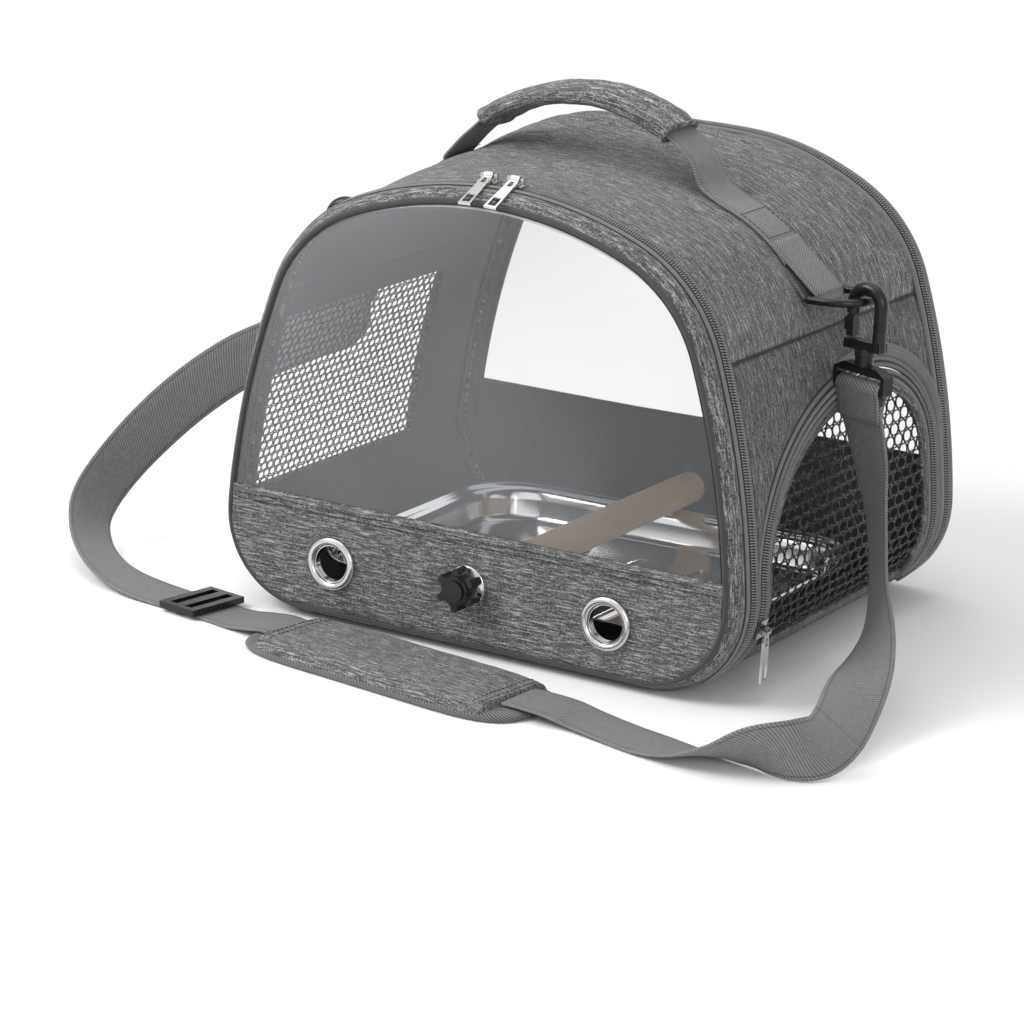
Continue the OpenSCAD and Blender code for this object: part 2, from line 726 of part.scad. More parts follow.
// The sewn end of the strap: a turn of webbing round the base's lower bar.
module strap_end(side)
    color(webbing) on_side(side)
        translate([hook_c.x, hook_c.y, base_z]) rotate([0, 0, base_turn])
            rotate([90, 0, 90]) linear_extrude(web_w - 0.6, center = true)
                difference() {
                    union() {
                        translate([0, 1.7]) circle(r = 5.6, $fn = 48);
                        translate([-2.2, -3.9]) square([4.4, 4]);
                    }
                    translate([-3.7, -0.2]) square([7.4, 3.8]);
                }
module strap_end_left() strap_end(-1);
module strap_end_right() strap_end(1);

slide_at = [-157, -153];
slide_turn = -10;
slide_len = 26;
slide_w = 40;
// The three-bar slide that sets the strap's length, on top of the strap.
module strap_slide()
    color(black_plastic)
        translate([slide_at.x, slide_at.y, 2.5]) rotate([0, 0, slide_turn]) difference() {
            translate([-slide_len / 2, -slide_w / 2, 0]) cube([slide_len, slide_w, 3.6]);
            for (s = [-1, 1])
                translate([s * 5.6 - 2.6, -web_w / 2 - 0.5, -1]) cube([5.2, web_w + 1, 6]);
        }

/* ---- Shoulder pad ---- */
pad_at = [-10, -182];
pad_turn = -8;
pad_columns = 25;
pad_rows = 12;
// The pad's half width at a place along it, with round ends.
function pad_half(u) = pad_w / 2 * pow(1 - pow(abs(u), 6), 0.35) * (1 - 0.03 * (1 - u * u));
// The crown: full over the sleeve in the middle, drawn in at the bound edge.
pad_edge_t = 3;
pad_end_t = 5.2;
sleeve_u = 0.84;
function pad_height(u, v) =
    let (crown = pow(max(0, 1 - pow(abs(v), 6)), 0.5),
        top = abs(u) < sleeve_u ? pad_t : abs(u) < 0.97 ? pad_end_t : pad_edge_t)
    pad_edge_t + (top - pad_edge_t) * crown;
function pad_point(i, j, top) =
    let (u = 2 * i / pad_columns - 1, v = 2 * j / pad_rows - 1,
        x = pad_len / 2 * u, y = pad_half(u) * v)
    [x, y, top ? pad_height(u, v) : 0];
module shoulder_pad()
    color(fabric)
        translate([pad_at.x, pad_at.y, 0]) rotate([0, 0, pad_turn]) {
            m = pad_rows + 1;
            count = (pad_columns + 1) * m;
            points = concat(
                [for (i = [0:pad_columns], j = [0:pad_rows]) pad_point(i, j, true)],
                [for (i = [0:pad_columns], j = [0:pad_rows]) pad_point(i, j, false)]);
            intersection() {
                polyhedron(points, pad_faces(m, count));
                translate([-pad_len, -pad_w, 0]) cube([2 * pad_len, 2 * pad_w, 50]);
            }
        }
function pad_quad(a, b, c, d) = [[a, b, c], [a, c, d]];
function pad_faces(m, count) = concat(
    [for (i = [0:pad_columns - 1], j = [0:pad_rows - 1]) let (k = i * m + j)
        each pad_quad(k, k + 1, k + m + 1, k + m)],
    [for (i = [0:pad_columns - 1], j = [0:pad_rows - 1]) let (k = count + i * m + j)
        each pad_quad(k + m, k + m + 1, k + 1, k)],
    [for (i = [0:pad_columns - 1]) let (k = i * m)
        each pad_quad(k, k + m, k + m + count, k + count)],
    [for (i = [0:pad_columns - 1]) let (k = i * m + m - 1)
        each pad_quad(k + count, k + m + count, k + m, k)],
    [for (j = [0:pad_rows - 1]) let (k = j)
        each pad_quad(k + count, k + 1 + count, k + 1, k)],
    [for (j = [0:pad_rows - 1]) let (k = pad_columns * m + j)
        each pad_quad(k, k + 1, k + 1 + count, k + count)]);

/* ---- Zip sliders and pulls ---- */
plate_w = 8;
plate_l = 11;
plate_t = 1.1;
plate_gap = coil_t / 2 + 0.8;
crown_z = plate_gap + plate_t + 2.5;
pin_r = 0.8;
eye_in = pin_r + 0.3;
eye_out = 2.1;
// A slider: its length lies in local X and its outer side in local Z. The
// crown holds a bar for the pull, along the zip or across it. The inner plate
// reaches from inner_low to the door's side of the coil.
module slider(bar_across, inner_low = -plate_w / 2)
    color(nickel) {
        translate([-plate_l / 2, -plate_w / 2, plate_gap]) cube([plate_l, plate_w, plate_t]);
        translate([-plate_l / 2, inner_low, -plate_gap - plate_t])
            cube([plate_l, plate_w / 2 - inner_low, plate_t]);
        translate([plate_l / 2 - 2, -0.3, -plate_gap - 0.1])
            cube([2, 0.6, 2 * plate_gap + 0.2]);
        rotate([0, 0, bar_across ? 90 : 0]) {
            half = bar_across ? 3.4 : 4.2;
            for (s = [-1, 1])
                translate([s * half - 0.8, -1.1, plate_gap + plate_t - 0.1])
                    cube([1.6, 2.2, 3.8]);
            translate([-half, 0, crown_z]) rotate([0, 90, 0])
                cylinder(r = pin_r, h = 2 * half, $fn = 32);
        }
    }
pull_len = 28;
pull_w = 7.5;
pull_t = 1.3;
// A pull: a barrel round the crown's bar and a tapered plate with two windows.
// Its bar lies in local X and it hangs along local -Y.
module pull(eye_w)
    color(nickel)
        difference() {
            union() {
                rotate([0, 90, 0]) cylinder(r = eye_out, h = eye_w, center = true, $fn = 32);
                translate([0, 0, -pull_t / 2]) linear_extrude(pull_t) polygon([
                    [-eye_w / 2, 0], [eye_w / 2, 0], [2.9, -6],
                    [pull_w / 2, -pull_len], [-pull_w / 2, -pull_len], [-2.9, -6]]);
            }
            rotate([0, 90, 0]) cylinder(r = eye_in, h = 20, center = true, $fn = 32);
            translate([-2.3, -pull_len + 1.6, -5]) cube([4.6, 7.5, 10]);
            translate([-1.3, -8, -5]) cube([2.6, 4.6, 10]);
        }

// Places a slider frame on the arc about the centre c, at the angle a from +X
// in the X-Z plane: local X runs along the zip and local Z points outwards.
module on_arc(c, r, a, y)
    translate([c.x, y, c.y]) rotate([0, 90 - a, 0]) translate([0, 0, r]) children();

front_slider_a = 2.03;
zip_skin = -0.4;
pull_drop = 24;
module slider_front(side)
    on_arc(roof_c, roof_r + zip_skin, 90 - side * front_slider_a, front_zip_y)
        mirror([side > 0 ? 0 : 1, 0, 0]) slider(false);
module slider_front_left() slider_front(-1);
module slider_front_right() slider_front(1);
module pull_front(side)
    on_arc(roof_c, roof_r + zip_skin, 90 - side * front_slider_a, front_zip_y)
        translate([0, 0, crown_z]) rotate([pull_drop, 0, 0]) pull(5);
module pull_front_left() pull_front(-1);
module pull_front_right() pull_front(1);

side_slider_a = -16;
module slider_side()
    on_arc(corner_c, corner_r + zip_skin, side_slider_a, door_leg_front)
        mirror([1, 0, 0]) slider(true, -0.3);
module pull_side()
    on_arc(corner_c, corner_r + zip_skin, side_slider_a, door_leg_front)
        translate([0, 0, crown_z]) rotate([0, side_slider_a, 0])
            rotate([0, 0, 90]) pull(4);
rear_slider_a = -18;
module slider_rear()
    mirror([1, 0, 0])
        on_arc(corner_c, corner_r + zip_skin, rear_slider_a, rear_zip_y)
            mirror([1, 0, 0]) slider(true);
module pull_rear()
    mirror([1, 0, 0])
        on_arc(corner_c, corner_r + zip_skin, rear_slider_a, rear_zip_y)
            translate([0, 0, crown_z]) rotate([0, rear_slider_a, 0])
                rotate([0, 0, 90]) pull(4);

base_panel();
base_board();
roof_panel();
side_panel_left();
side_panel_right();
window_mesh_left();
mesh_binding_left();
front_body_zip();
rear_body_zip();
rear_body_piping();
side_body_zip();
handle_webbing();
handle_grip();
webbing_loop_left();
webbing_loop_right();
d_ring_left();
d_ring_right();
hook_base_left();
hook_base_right();
snap_hook_left();
snap_hook_right();
hook_gate_left();
hook_gate_right();
strap_right();
strap_front();
strap_left();
strap_end_left();
strap_end_right();
strap_slide();
shoulder_pad();
tray();
front_window();
front_strip();
front_piping();
front_band();
front_door_zip();
grommet_left();
grommet_right();
perch_washer();
perch_bolt();
perch();
perch_knob();
rear_window();
rear_strip();
rear_piping();
rear_band();
rear_door_zip();
side_mesh();
side_mesh_binding();
side_door_zip();
slider_front_left();
slider_front_right();
slider_side();
slider_rear();
pull_front_left();
pull_front_right();
pull_side();
pull_rear();
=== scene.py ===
import bpy
import bmesh
from math import asin, cos, exp, hypot, pi, radians, sin, sqrt
from mathutils import Matrix, Vector, noise


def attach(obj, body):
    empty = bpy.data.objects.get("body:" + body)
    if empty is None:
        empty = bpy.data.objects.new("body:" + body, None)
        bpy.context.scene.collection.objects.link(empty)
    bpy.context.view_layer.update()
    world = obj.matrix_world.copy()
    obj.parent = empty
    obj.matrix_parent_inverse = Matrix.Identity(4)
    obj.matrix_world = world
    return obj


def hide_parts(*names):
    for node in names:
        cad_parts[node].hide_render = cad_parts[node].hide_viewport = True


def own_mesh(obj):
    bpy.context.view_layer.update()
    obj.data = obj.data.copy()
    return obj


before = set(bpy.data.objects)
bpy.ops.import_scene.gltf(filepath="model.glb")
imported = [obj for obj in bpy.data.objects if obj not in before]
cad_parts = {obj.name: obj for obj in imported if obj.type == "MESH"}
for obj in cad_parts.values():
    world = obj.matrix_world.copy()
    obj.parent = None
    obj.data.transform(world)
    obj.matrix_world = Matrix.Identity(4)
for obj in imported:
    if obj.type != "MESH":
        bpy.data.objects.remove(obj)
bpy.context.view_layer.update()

MM = 0.001


# ---------------------------------------------------------------------------
# Stage: a pale floor that fades to a white backdrop, with soft studio lamps high
# on the left, in front and on the right, and the camera of the photograph.
# ---------------------------------------------------------------------------
AZIMUTH, ELEVATION, ROLL = radians(29.95), radians(15.88), radians(2.66)


def place_camera():
    back = Vector((sin(AZIMUTH) * cos(ELEVATION), -cos(AZIMUTH) * cos(ELEVATION), sin(ELEVATION)))
    level = Vector((cos(AZIMUTH), sin(AZIMUTH), 0))
    up = back.cross(level)
    right = level * cos(ROLL) + up * sin(ROLL)
    top = up * cos(ROLL) - level * sin(ROLL)
    data = bpy.data.cameras.new("camera")
    data.lens, data.sensor_width = 134.2, 36
    data.clip_start, data.clip_end = 0.05, 50
    camera = bpy.data.objects.new("camera", data)
    bpy.context.scene.collection.objects.link(camera)
    turn = Matrix((right, top, back)).transposed().to_4x4()
    camera.matrix_world = Matrix.Translation((0.9942, -1.8128, 0.6366)) @ turn
    bpy.context.scene.camera = camera


def lamp(name, place, target, size, power):
    data = bpy.data.lights.new(name, "AREA")
    data.shape, data.size, data.energy = "SQUARE", size, power
    o = bpy.data.objects.new(name, data)
    bpy.context.scene.collection.objects.link(o)
    o.location = place
    o.rotation_euler = (Vector(target) - Vector(place)).to_track_quat("-Z", "Y").to_euler()


def white_world():
    world = bpy.data.worlds.new("studio")
    bpy.context.scene.world = world
    world.use_nodes = True
    tree = world.node_tree
    tree.nodes.clear()
    seen = tree.nodes.new("ShaderNodeBackground")
    seen.inputs["Color"].default_value = (1, 1, 1, 1)
    seen.inputs["Strength"].default_value = 1.0
    fill = tree.nodes.new("ShaderNodeBackground")
    fill.inputs["Color"].default_value = (0.97, 0.98, 1, 1)
    fill.inputs["Strength"].default_value = 0.55
    rays = tree.nodes.new("ShaderNodeLightPath")
    mix = tree.nodes.new("ShaderNodeMixShader")
    out = tree.nodes.new("ShaderNodeOutputWorld")
    kind = rays.outputs["Is Camera Ray"]
    for name in ("Is Glossy Ray", "Is Transmission Ray"):
        either = tree.nodes.new("ShaderNodeMath")
        either.operation = "MAXIMUM"
        tree.links.new(kind, either.inputs[0])
        tree.links.new(rays.outputs[name], either.inputs[1])
        kind = either.outputs[0]
    tree.links.new(kind, mix.inputs[0])
    tree.links.new(fill.outputs[0], mix.inputs[1])
    tree.links.new(seen.outputs[0], mix.inputs[2])
    tree.links.new(mix.outputs[0], out.inputs[0])


def pale_floor():
    bm = bmesh.new()
    bmesh.ops.create_grid(bm, x_segments=1, y_segments=1, size=6)
    data = bpy.data.meshes.new("floor")
    bm.to_mesh(data)
    bm.free()
    floor = bpy.data.objects.new("floor", data)
    bpy.context.scene.collection.objects.link(floor)
    m = bpy.data.materials.new("floor")
    m.use_nodes = True
    tree = m.node_tree
    lit = tree.nodes["Principled BSDF"]
    lit.inputs["Base Color"].default_value = (0.93, 0.93, 0.93, 1)
    lit.inputs["Roughness"].default_value = 0.9
    place = tree.nodes.new("ShaderNodeTexCoord")
    far = tree.nodes.new("ShaderNodeVectorMath")
    far.operation = "LENGTH"
    edge = tree.nodes.new("ShaderNodeMapRange")
    edge.inputs["From Min"].default_value = 0.36
    edge.inputs["From Max"].default_value = 0.8
    white = tree.nodes.new("ShaderNodeEmission")
    mix = tree.nodes.new("ShaderNodeMixShader")
    tree.links.new(place.outputs["Object"], far.inputs[0])
    tree.links.new(far.outputs["Value"], edge.inputs["Value"])
    tree.links.new(edge.outputs["Result"], mix.inputs[0])
    tree.links.new(lit.outputs[0], mix.inputs[1])
    tree.links.new(white.outputs[0], mix.inputs[2])
    tree.links.new(mix.outputs[0], tree.nodes["Material Output"].inputs[0])
    data.materials.append(m)


place_camera()
white_world()
pale_floor()
lamp("key", (-1.05, -1.1, 1.3), (0, 0, 0.1), 0.9, 25)
lamp("top", (-0.3, 0.1, 2.4), (0, 0, 0.1), 2.2, 22)
lamp("side", (1.6, -1.5, 0.8), (0.2, -0.1, 0.1), 0.8, 10)
bpy.context.scene.view_settings.view_transform = "Standard"


# ---------------------------------------------------------------------------
# Floor: padded melange cloth over thin foam, with a stiff board under the tray.
# Its edges turn up in round corners, which are sewn to the walls.
# ---------------------------------------------------------------------------
def put(socket, value):
    """Sets a socket to a number or a colour, or links another node to it."""
    if isinstance(value, Socket):
        value.tree.links.new(value.out, socket)
    else:
        socket.default_value = value


class Socket:
    """A node's output that can be added, multiplied and shaped."""

    def __init__(self, tree, out):
        self.tree, self.out = tree, out

    def math(self, op, a, b=0.0):
        n = self.tree.nodes.new("ShaderNodeMath")
        n.operation = op
        put(n.inputs[0], a)
        put(n.inputs[1], b)
        return Socket(self.tree, n.outputs[0])

    def __add__(self, b): return self.math("ADD", self, b)
    def __radd__(self, b): return self.math("ADD", b, self)
    def __sub__(self, b): return self.math("SUBTRACT", self, b)
    def __rsub__(self, b): return self.math("SUBTRACT", b, self)
    def __mul__(self, b): return self.math("MULTIPLY", self, b)
    def __rmul__(self, b): return self.math("MULTIPLY", b, self)
    def sin(self): return self.math("SINE", self)
    def abs(self): return self.math("ABSOLUTE", self)
    def top(self, b): return self.math("MAXIMUM", self, b)

    def step(self, low, high):
        """0 below low, 1 above high and smooth between."""
        n = self.tree.nodes.new("ShaderNodeMapRange")
        n.interpolation_type = "SMOOTHSTEP"
        put(n.inputs["Value"], self)
        n.inputs["From Min"].default_value = low
        n.inputs["From Max"].default_value = high
        return Socket(self.tree, n.outputs["Result"])


class Finish:
    """A material with one Principled shader."""

    def __init__(self, name, **fixed):
        self.material = bpy.data.materials.new(name)
        self.material.use_nodes = True
        self.tree = self.material.node_tree
        self.shader = self.tree.nodes["Principled BSDF"]
        self.set(**fixed)

    def node(self, kind, out=0, props=(), **inputs):
        n = self.tree.nodes.new(kind)
        for key, value in dict(props).items():
            setattr(n, key, value)
        for key, value in inputs.items():
            put(n.inputs[key.replace("_", " ")], value)
        return Socket(self.tree, n.outputs[out])

    def set(self, **inputs):
        for key, value in inputs.items():
            put(self.shader.inputs[key.replace("_", " ")], value)

    def parts(self, vector):
        n = self.tree.nodes.new("ShaderNodeSeparateXYZ")
        put(n.inputs[0], vector)
        return [Socket(self.tree, o) for o in n.outputs]

    def uv(self):
        return self.parts(self.node("ShaderNodeUVMap", props={"uv_map": "cloth"}))[:2]

    def place(self):
        return self.parts(self.node("ShaderNodeTexCoord", out=3))

    def noise(self, x, y, z=0.0, detail=2.0, rough=0.5, warp=0.0):
        v = self.node("ShaderNodeCombineXYZ", X=x, Y=y, Z=z)
        return self.node("ShaderNodeTexNoise", Vector=v, Scale=1.0, Detail=detail,
                         Roughness=rough, Distortion=warp)

    def mix(self, amount, a, b):
        n = self.tree.nodes.new("ShaderNodeMix")
        n.data_type = "RGBA"
        put(n.inputs["Factor"], amount)
        put(n.inputs[6], a if isinstance(a, Socket) else (*a, 1))
        put(n.inputs[7], b if isinstance(b, Socket) else (*b, 1))
        return Socket(self.tree, n.outputs[2])

    def bump(self, height, strength, distance):
        self.set(Normal=self.node("ShaderNodeBump", Height=height, Strength=strength,
                                  Distance=distance))


def grey(value, warm=0.0):
    return (value * (1 + warm), value, value * (1 - warm))


def heather(name, dark=0.018, light=0.61):
    """Melange polyester: dark yarn with light slubs that run along u."""
    f = Finish(name, Roughness=0.88, Sheen_Weight=0.06, Sheen_Roughness=0.45)
    u, v = f.uv()
    slub = f.noise(u * 145, v * 1150, 0.0, 2, 0.6).step(0.50, 0.63)
    fine = f.noise(u * 700, v * 2400, 4.0, 1, 0.5).step(0.44, 0.66)
    long_slub = f.noise(u * 52, v * 860, 8.0, 2, 0.6).step(0.51, 0.64)
    cross = f.noise(u * 1500, v * 300, 12.0, 1, 0.5).step(0.54, 0.70)
    shade = f.noise(u * 72, v * 900, 16.0, 3, 0.65).step(0.47, 0.61)
    cloud = f.noise(u * 16, v * 26, 20.0, 2, 0.5)
    amount = slub * 0.30 + fine * 0.34 + long_slub * 0.22 + cross * 0.14
    amount = amount * (0.72 + cloud * 0.56) * (1 - shade * 0.74) + 0.03
    f.set(Base_Color=f.mix(amount, grey(dark, 0.01), grey(light, 0.014)))
    weave = (u * 6400).sin() * (v * 6400).sin()
    f.bump(amount * 0.9 + weave * 0.35, 0.55, 0.0004)
    return f.material


def plain_cloth(name, colour, pitch=0.0008):
    """Smooth close weave, used for linings, tapes and bindings."""
    f = Finish(name, Roughness=0.78, Sheen_Weight=0.15)
    u, v = f.uv()
    weave = (u * (2 * pi / pitch)).sin() * (v * (2 * pi / pitch)).sin()
    cloud = f.noise(u * 90, v * 90, 1.0, 3, 0.6)
    dark = tuple(c * 0.72 for c in colour)
    light = tuple(c * 1.3 for c in colour)
    f.set(Base_Color=f.mix(cloud * 0.8 + weave * 0.18 + 0.1, dark, light))
    f.bump(weave * 0.4 + cloud, 0.35, 0.0003)
    return f.material


# A copy of the melange cloth with darker yarn: painted shade, used on the walls, the floor and the
# side door's binding and hem.
CLOTH_PAINTED_SHADE = heather("heather_painted_shade", 0.008, 0.44)
LINING = plain_cloth("lining_cloth", (0.062, 0.062, 0.068), pitch=0.0013)
FLOOR_HALF, R_CORNER, R_WALL, R_SHOULDER = 106.0, 55.0, 480.0, 86.0
A_CORNER, A_WALL, A_SHOULDER = radians(4), radians(19.4), radians(67.2)
FRONT_Y, REAR_Y = -132.5, 132.5
FRONT_ZIP_Y, REAR_ZIP_Y = -113.0, 118.0
WALL_T = 3.0


def tangent_arcs():
    """(centre x, centre z, radius, start angle, end angle) up the right side."""
    c = [(FLOOR_HALF, R_CORNER)]
    c.append((c[0][0] - (R_WALL - R_CORNER) * cos(A_CORNER),
              c[0][1] - (R_WALL - R_CORNER) * sin(A_CORNER)))
    c.append((c[1][0] + (R_WALL - R_SHOULDER) * cos(A_WALL),
              c[1][1] + (R_WALL - R_SHOULDER) * sin(A_WALL)))
    r = R_SHOULDER + c[2][0] / cos(A_SHOULDER)
    c.append((0.0, c[2][1] - (r - R_SHOULDER) * sin(A_SHOULDER)))
    radii = (R_CORNER, R_WALL, R_SHOULDER, r)
    angles = (-pi / 2, A_CORNER, A_WALL, A_SHOULDER, pi / 2)
    return [(c[i][0], c[i][1], radii[i], angles[i], angles[i + 1]) for i in range(4)]


ARCS = tangent_arcs()
HALF_LOOP = FLOOR_HALF + sum(r * (b - a) for _, _, r, a, b in ARCS)
LOOP = 2 * HALF_LOOP


def arch(t, out=0.0):
    """(x, z) and the outward normal, t along the outline from mid floor, rightwards."""
    t %= LOOP
    if t > HALF_LOOP:
        (x, z), (nx, nz) = arch(LOOP - t, out)
        return (-x, z), (-nx, nz)
    if t <= FLOOR_HALF:
        return (t, -out), (0.0, -1.0)
    s = t - FLOOR_HALF
    for cx, cz, r, a0, a1 in ARCS:
        if s <= r * (a1 - a0) + 1e-6:
            break
        s -= r * (a1 - a0)
    a = a0 + s / r
    return (cx + (r + out) * cos(a), cz + (r + out) * sin(a)), (cos(a), sin(a))


def shell(t, y, out):
    (x, z), _ = arch(t, out)
    return Vector((x, y, z))


def spread(a, b, n):
    return [a + (b - a) * i / n for i in range(n + 1)]


def smooth_step(x, low, high):
    x = min(1.0, max(0.0, (x - low) / (high - low)))
    return x * x * (3 - 2 * x)


def stuffed(p):
    """The real bag stands fuller than its pattern: left shoulder, roof and right rear."""
    x, y, z = p
    shoulder = exp(-((x + 75) / 40) ** 2) * (3.2 * smooth_step(y, -104, -60)
                                             + 11.5 * smooth_step(y, -115, 75)
                                             - 6.0 * smooth_step(y, 80, 122))
    rear = (2.5 * smooth_step(y, 0, 118) * (1 - smooth_step(x, 50, 105))
            * (1 - smooth_step(-x, 30, 80)))
    body = smooth_step(z, 175, 228) * (1 - smooth_step(z, 251, 260))
    deep = 9.6 * smooth_step(y, 10, 130) * smooth_step(x, -60, 110)
    return Vector((x, y + deep, z + (shoulder + rear) * body))


def make(name, verts, faces, material, cloth=None, fit=stuffed):
    """A mesh object from points in millimetres; cloth gives each point its UV."""
    data = bpy.data.meshes.new(name)
    data.from_pydata([tuple(fit(v) * MM) for v in verts], [], faces)
    if cloth:
        layer = data.uv_layers.new(name="cloth")
        for loop in data.loops:
            u, v = cloth[loop.vertex_index]
            layer.data[loop.index].uv = (u * MM, v * MM)
    bm = bmesh.new()
    bm.from_mesh(data)
    bmesh.ops.recalc_face_normals(bm, faces=bm.faces)
    bm.to_mesh(data)
    bm.free()
    data.polygons.foreach_set("use_smooth", [True] * len(data.polygons))
    data.materials.append(material)
    o = bpy.data.objects.new(name, data)
    bpy.context.scene.collection.objects.link(o)
    return o


def skin(name, us, vs, outer, inner, material, skip=None, lining=None):
    """A closed sheet over the grid us by vs, between two surfaces."""
    nu, nv = len(us), len(vs)
    verts = [outer(u, v) for u in us for v in vs] + [inner(u, v) for u in us for v in vs]
    cloth = [(u, v) for u in us for v in vs] * 2
    faces, edges, far = [], {}, nu * nv
    for i in range(nu - 1):
        for j in range(nv - 1):
            if skip and skip((us[i] + us[i + 1]) / 2, (vs[j] + vs[j + 1]) / 2):
                continue
            a, b = i * nv + j, i * nv + j + 1
            c, d = b + nv, a + nv
            faces.append((d + far, c + far, b + far, a + far))
            faces.append((a, b, c, d))
            for p, q in ((a, b), (b, c), (c, d), (d, a)):
                edges.pop((q, p), None) or edges.setdefault((p, q), True)
    for p, q in edges:
        faces.append((q, p, p + far, q + far))
    used = sorted({k for f in faces for k in f})
    index = {k: n for n, k in enumerate(used)}
    o = make(name, [verts[k] for k in used], [tuple(index[k] for k in f) for f in faces],
             material, [cloth[k] for k in used])
    return line_inside(o, [k for k, f in enumerate(faces) if min(f) >= far], lining)


def line_inside(o, inner_faces, lining):
    """Another cloth on the faces that look into the carrier."""
    if lining:
        o.data.materials.append(lining)
        for k in inner_faces:
            o.data.polygons[k].material_index = 1
    return o


def dress(o, body, slot, *nodes):
    """The piece moves with body and stands for CAD nodes; slot is not used."""
    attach(o, body)
    if nodes:
        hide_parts(*nodes)
    return o


def paint(material, *nodes):
    """A better material on CAD nodes that are kept."""
    for name in nodes:
        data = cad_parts[name].data
        data.materials.clear()
        data.materials.append(material)


BASE_T = 139.7          # where the floor's turned-up corners end, on the outline
FACE_INSET = 5.0
BAND_START = 2.2


def face_roll(y, face_y, zip_y, reach):
    """How far cloth is drawn in as it rolls from the zip over to a door's face."""
    start, end = abs(face_y) - BAND_START, abs(zip_y) + reach
    s = min(1.0, max(0.0, (start - abs(y)) / (start - end)))
    return (FACE_INSET + 0.4) * (1 - s) ** 1.6


def base_out(y):
    return -face_roll(y, *((FRONT_Y, FRONT_ZIP_Y) if y < 0 else (REAR_Y, REAR_ZIP_Y)), 4.9)


o = skin("base_panel_cloth", spread(-BASE_T, BASE_T, 90), spread(-130, 130, 80),
         lambda t, y: shell(t, y, base_out(y)),
         lambda t, y: shell(t, y, -5.5 if abs(y) > 120 else -WALL_T),
         CLOTH_PAINTED_SHADE, lining=LINING)
dress(o, "shell", "heather", "base_panel")
paint(LINING, "base_board")


# ---------------------------------------------------------------------------
# Roof: one padded panel of melange cloth that arches from wall to wall. The
# handle's webbing presses it flat, and slack lies in folds near the rear zip.
# ---------------------------------------------------------------------------
CLOTH = heather("heather_cloth")
PANEL_FRONT, PANEL_REAR = -107.5, 112.5
ROOF_SEAM_Z = 178.0


def arch_at(z, inset=0.0):
    """The place t on the right side whose point, drawn in by inset, has this height."""
    low, high = FLOOR_HALF, HALF_LOOP
    for _ in range(40):
        mid = (low + high) / 2
        low, high = (mid, high) if arch(mid, -inset)[0][1] < z else (low, mid)
    return (low + high) / 2


def rough_noise(x, y, seed=0.0):
    return noise.noise(Vector((x, y, seed)))


WEB_HALF = 16.0
SEAM_T = arch_at(ROOF_SEAM_Z)


def fullness(t, y, t0, t1, y0, y1):
    """How far padded cloth stands off its sewn edges, with soft folds."""
    edge = min(abs(t - t0), abs(t1 - t), 40)
    side = min(abs(y - y0), abs(y1 - y), 40)
    dip = 1 - exp(-edge / 2.2)
    puff = 0.9 * smooth_step(edge, 0, 26) * smooth_step(side, 0, 14)
    fold = rough_noise(t / 46, y / 30, 1.7) * 0.9 + rough_noise(t / 19, y / 13, 5.1) * 0.35
    fold *= smooth_step(side, 0, 16) * smooth_step(edge, 0, 10)
    return (dip - 1) * 0.9 + puff * 0.8 + fold


def roof_folds(t, y):
    """Slack cloth lies in soft folds towards the rear zip, mostly on the left."""
    side = (smooth_step(t, HALF_LOOP - 70, HALF_LOOP + 20)
            * (1 - smooth_step(t, HALF_LOOP + 120, HALF_LOOP + 165)))
    near = smooth_step(y, 28, 70) * (1 - smooth_step(y, PANEL_REAR - 12, PANEL_REAR - 1))
    return 1.3 * side * near * sin(y / 3.6 + 2.6 * rough_noise(t / 60, y / 50, 3.3)
                                   + (t - HALF_LOOP) / 55)


def under_web(y, value):
    """Cloth is pressed flat where the handle's webbing is sewn down on it."""
    k = smooth_step(abs(y), WEB_HALF - 1, WEB_HALF + 9)
    return value * k - 0.35 * (1 - k)


roof_t = (SEAM_T, LOOP - SEAM_T)


def roof_top(t, y):
    full = fullness(t, y, *roof_t, PANEL_FRONT - 8, PANEL_REAR + 8)
    return shell(t, y, under_web(y, roof_folds(t, y) + full))


o = skin("roof_panel_cloth", spread(*roof_t, 150), spread(PANEL_FRONT, PANEL_REAR, 90),
         roof_top, lambda t, y: shell(t, y, -WALL_T), CLOTH, lining=LINING)
dress(o, "shell", "heather", "roof_panel")


# ---------------------------------------------------------------------------
# Left wall: a padded panel of melange cloth darkened with painted shade, with a
# window cut out of its front two thirds. It is sewn to the floor and to the roof.
# ---------------------------------------------------------------------------
MESH_Y, MESH_Z = (-101.3, 62.0), (58.0, 160.0)
left_t = sorted((LOOP - SEAM_T, LOOP - BASE_T))
window_t = sorted((LOOP - arch_at(MESH_Z[0]), LOOP - arch_at(MESH_Z[1])))
ts = (spread(left_t[0], window_t[0], 8)[:-1] + spread(*window_t, 36)[:-1]
      + spread(window_t[1], left_t[1], 22))
ys = (spread(PANEL_FRONT, MESH_Y[0], 3)[:-1] + spread(*MESH_Y, 44)[:-1]
      + spread(MESH_Y[1], PANEL_REAR, 20))
o = skin("side_panel_left_cloth", ts, ys,
         lambda t, y: shell(t, y, fullness(t, y, *left_t, PANEL_FRONT - 8, PANEL_REAR + 8) * 0.5),
         lambda t, y: shell(t, y, -WALL_T), CLOTH_PAINTED_SHADE, lining=LINING,
         skip=lambda t, y: window_t[0] < t < window_t[1] and MESH_Y[0] < y < MESH_Y[1])
dress(o, "shell", "heather", "side_panel_left")


# ---------------------------------------------------------------------------
# Right wall: the same cloth, cut away round the side door's arch, with a narrow
# sill that is left under the door.
# ---------------------------------------------------------------------------
LEG_FRONT, LEG_REAR = -101.0, 102.0
DOOR_TOP = (40.0, 149.0)
DOOR_FRONT_Z, DOOR_REAR_Z, DOOR_BOTTOM = 62.0, 98.0, 16.0
ZIP_GAP, COIL_W, SIDE_ZIP_HALF = 0.5, 2.4, 4.5


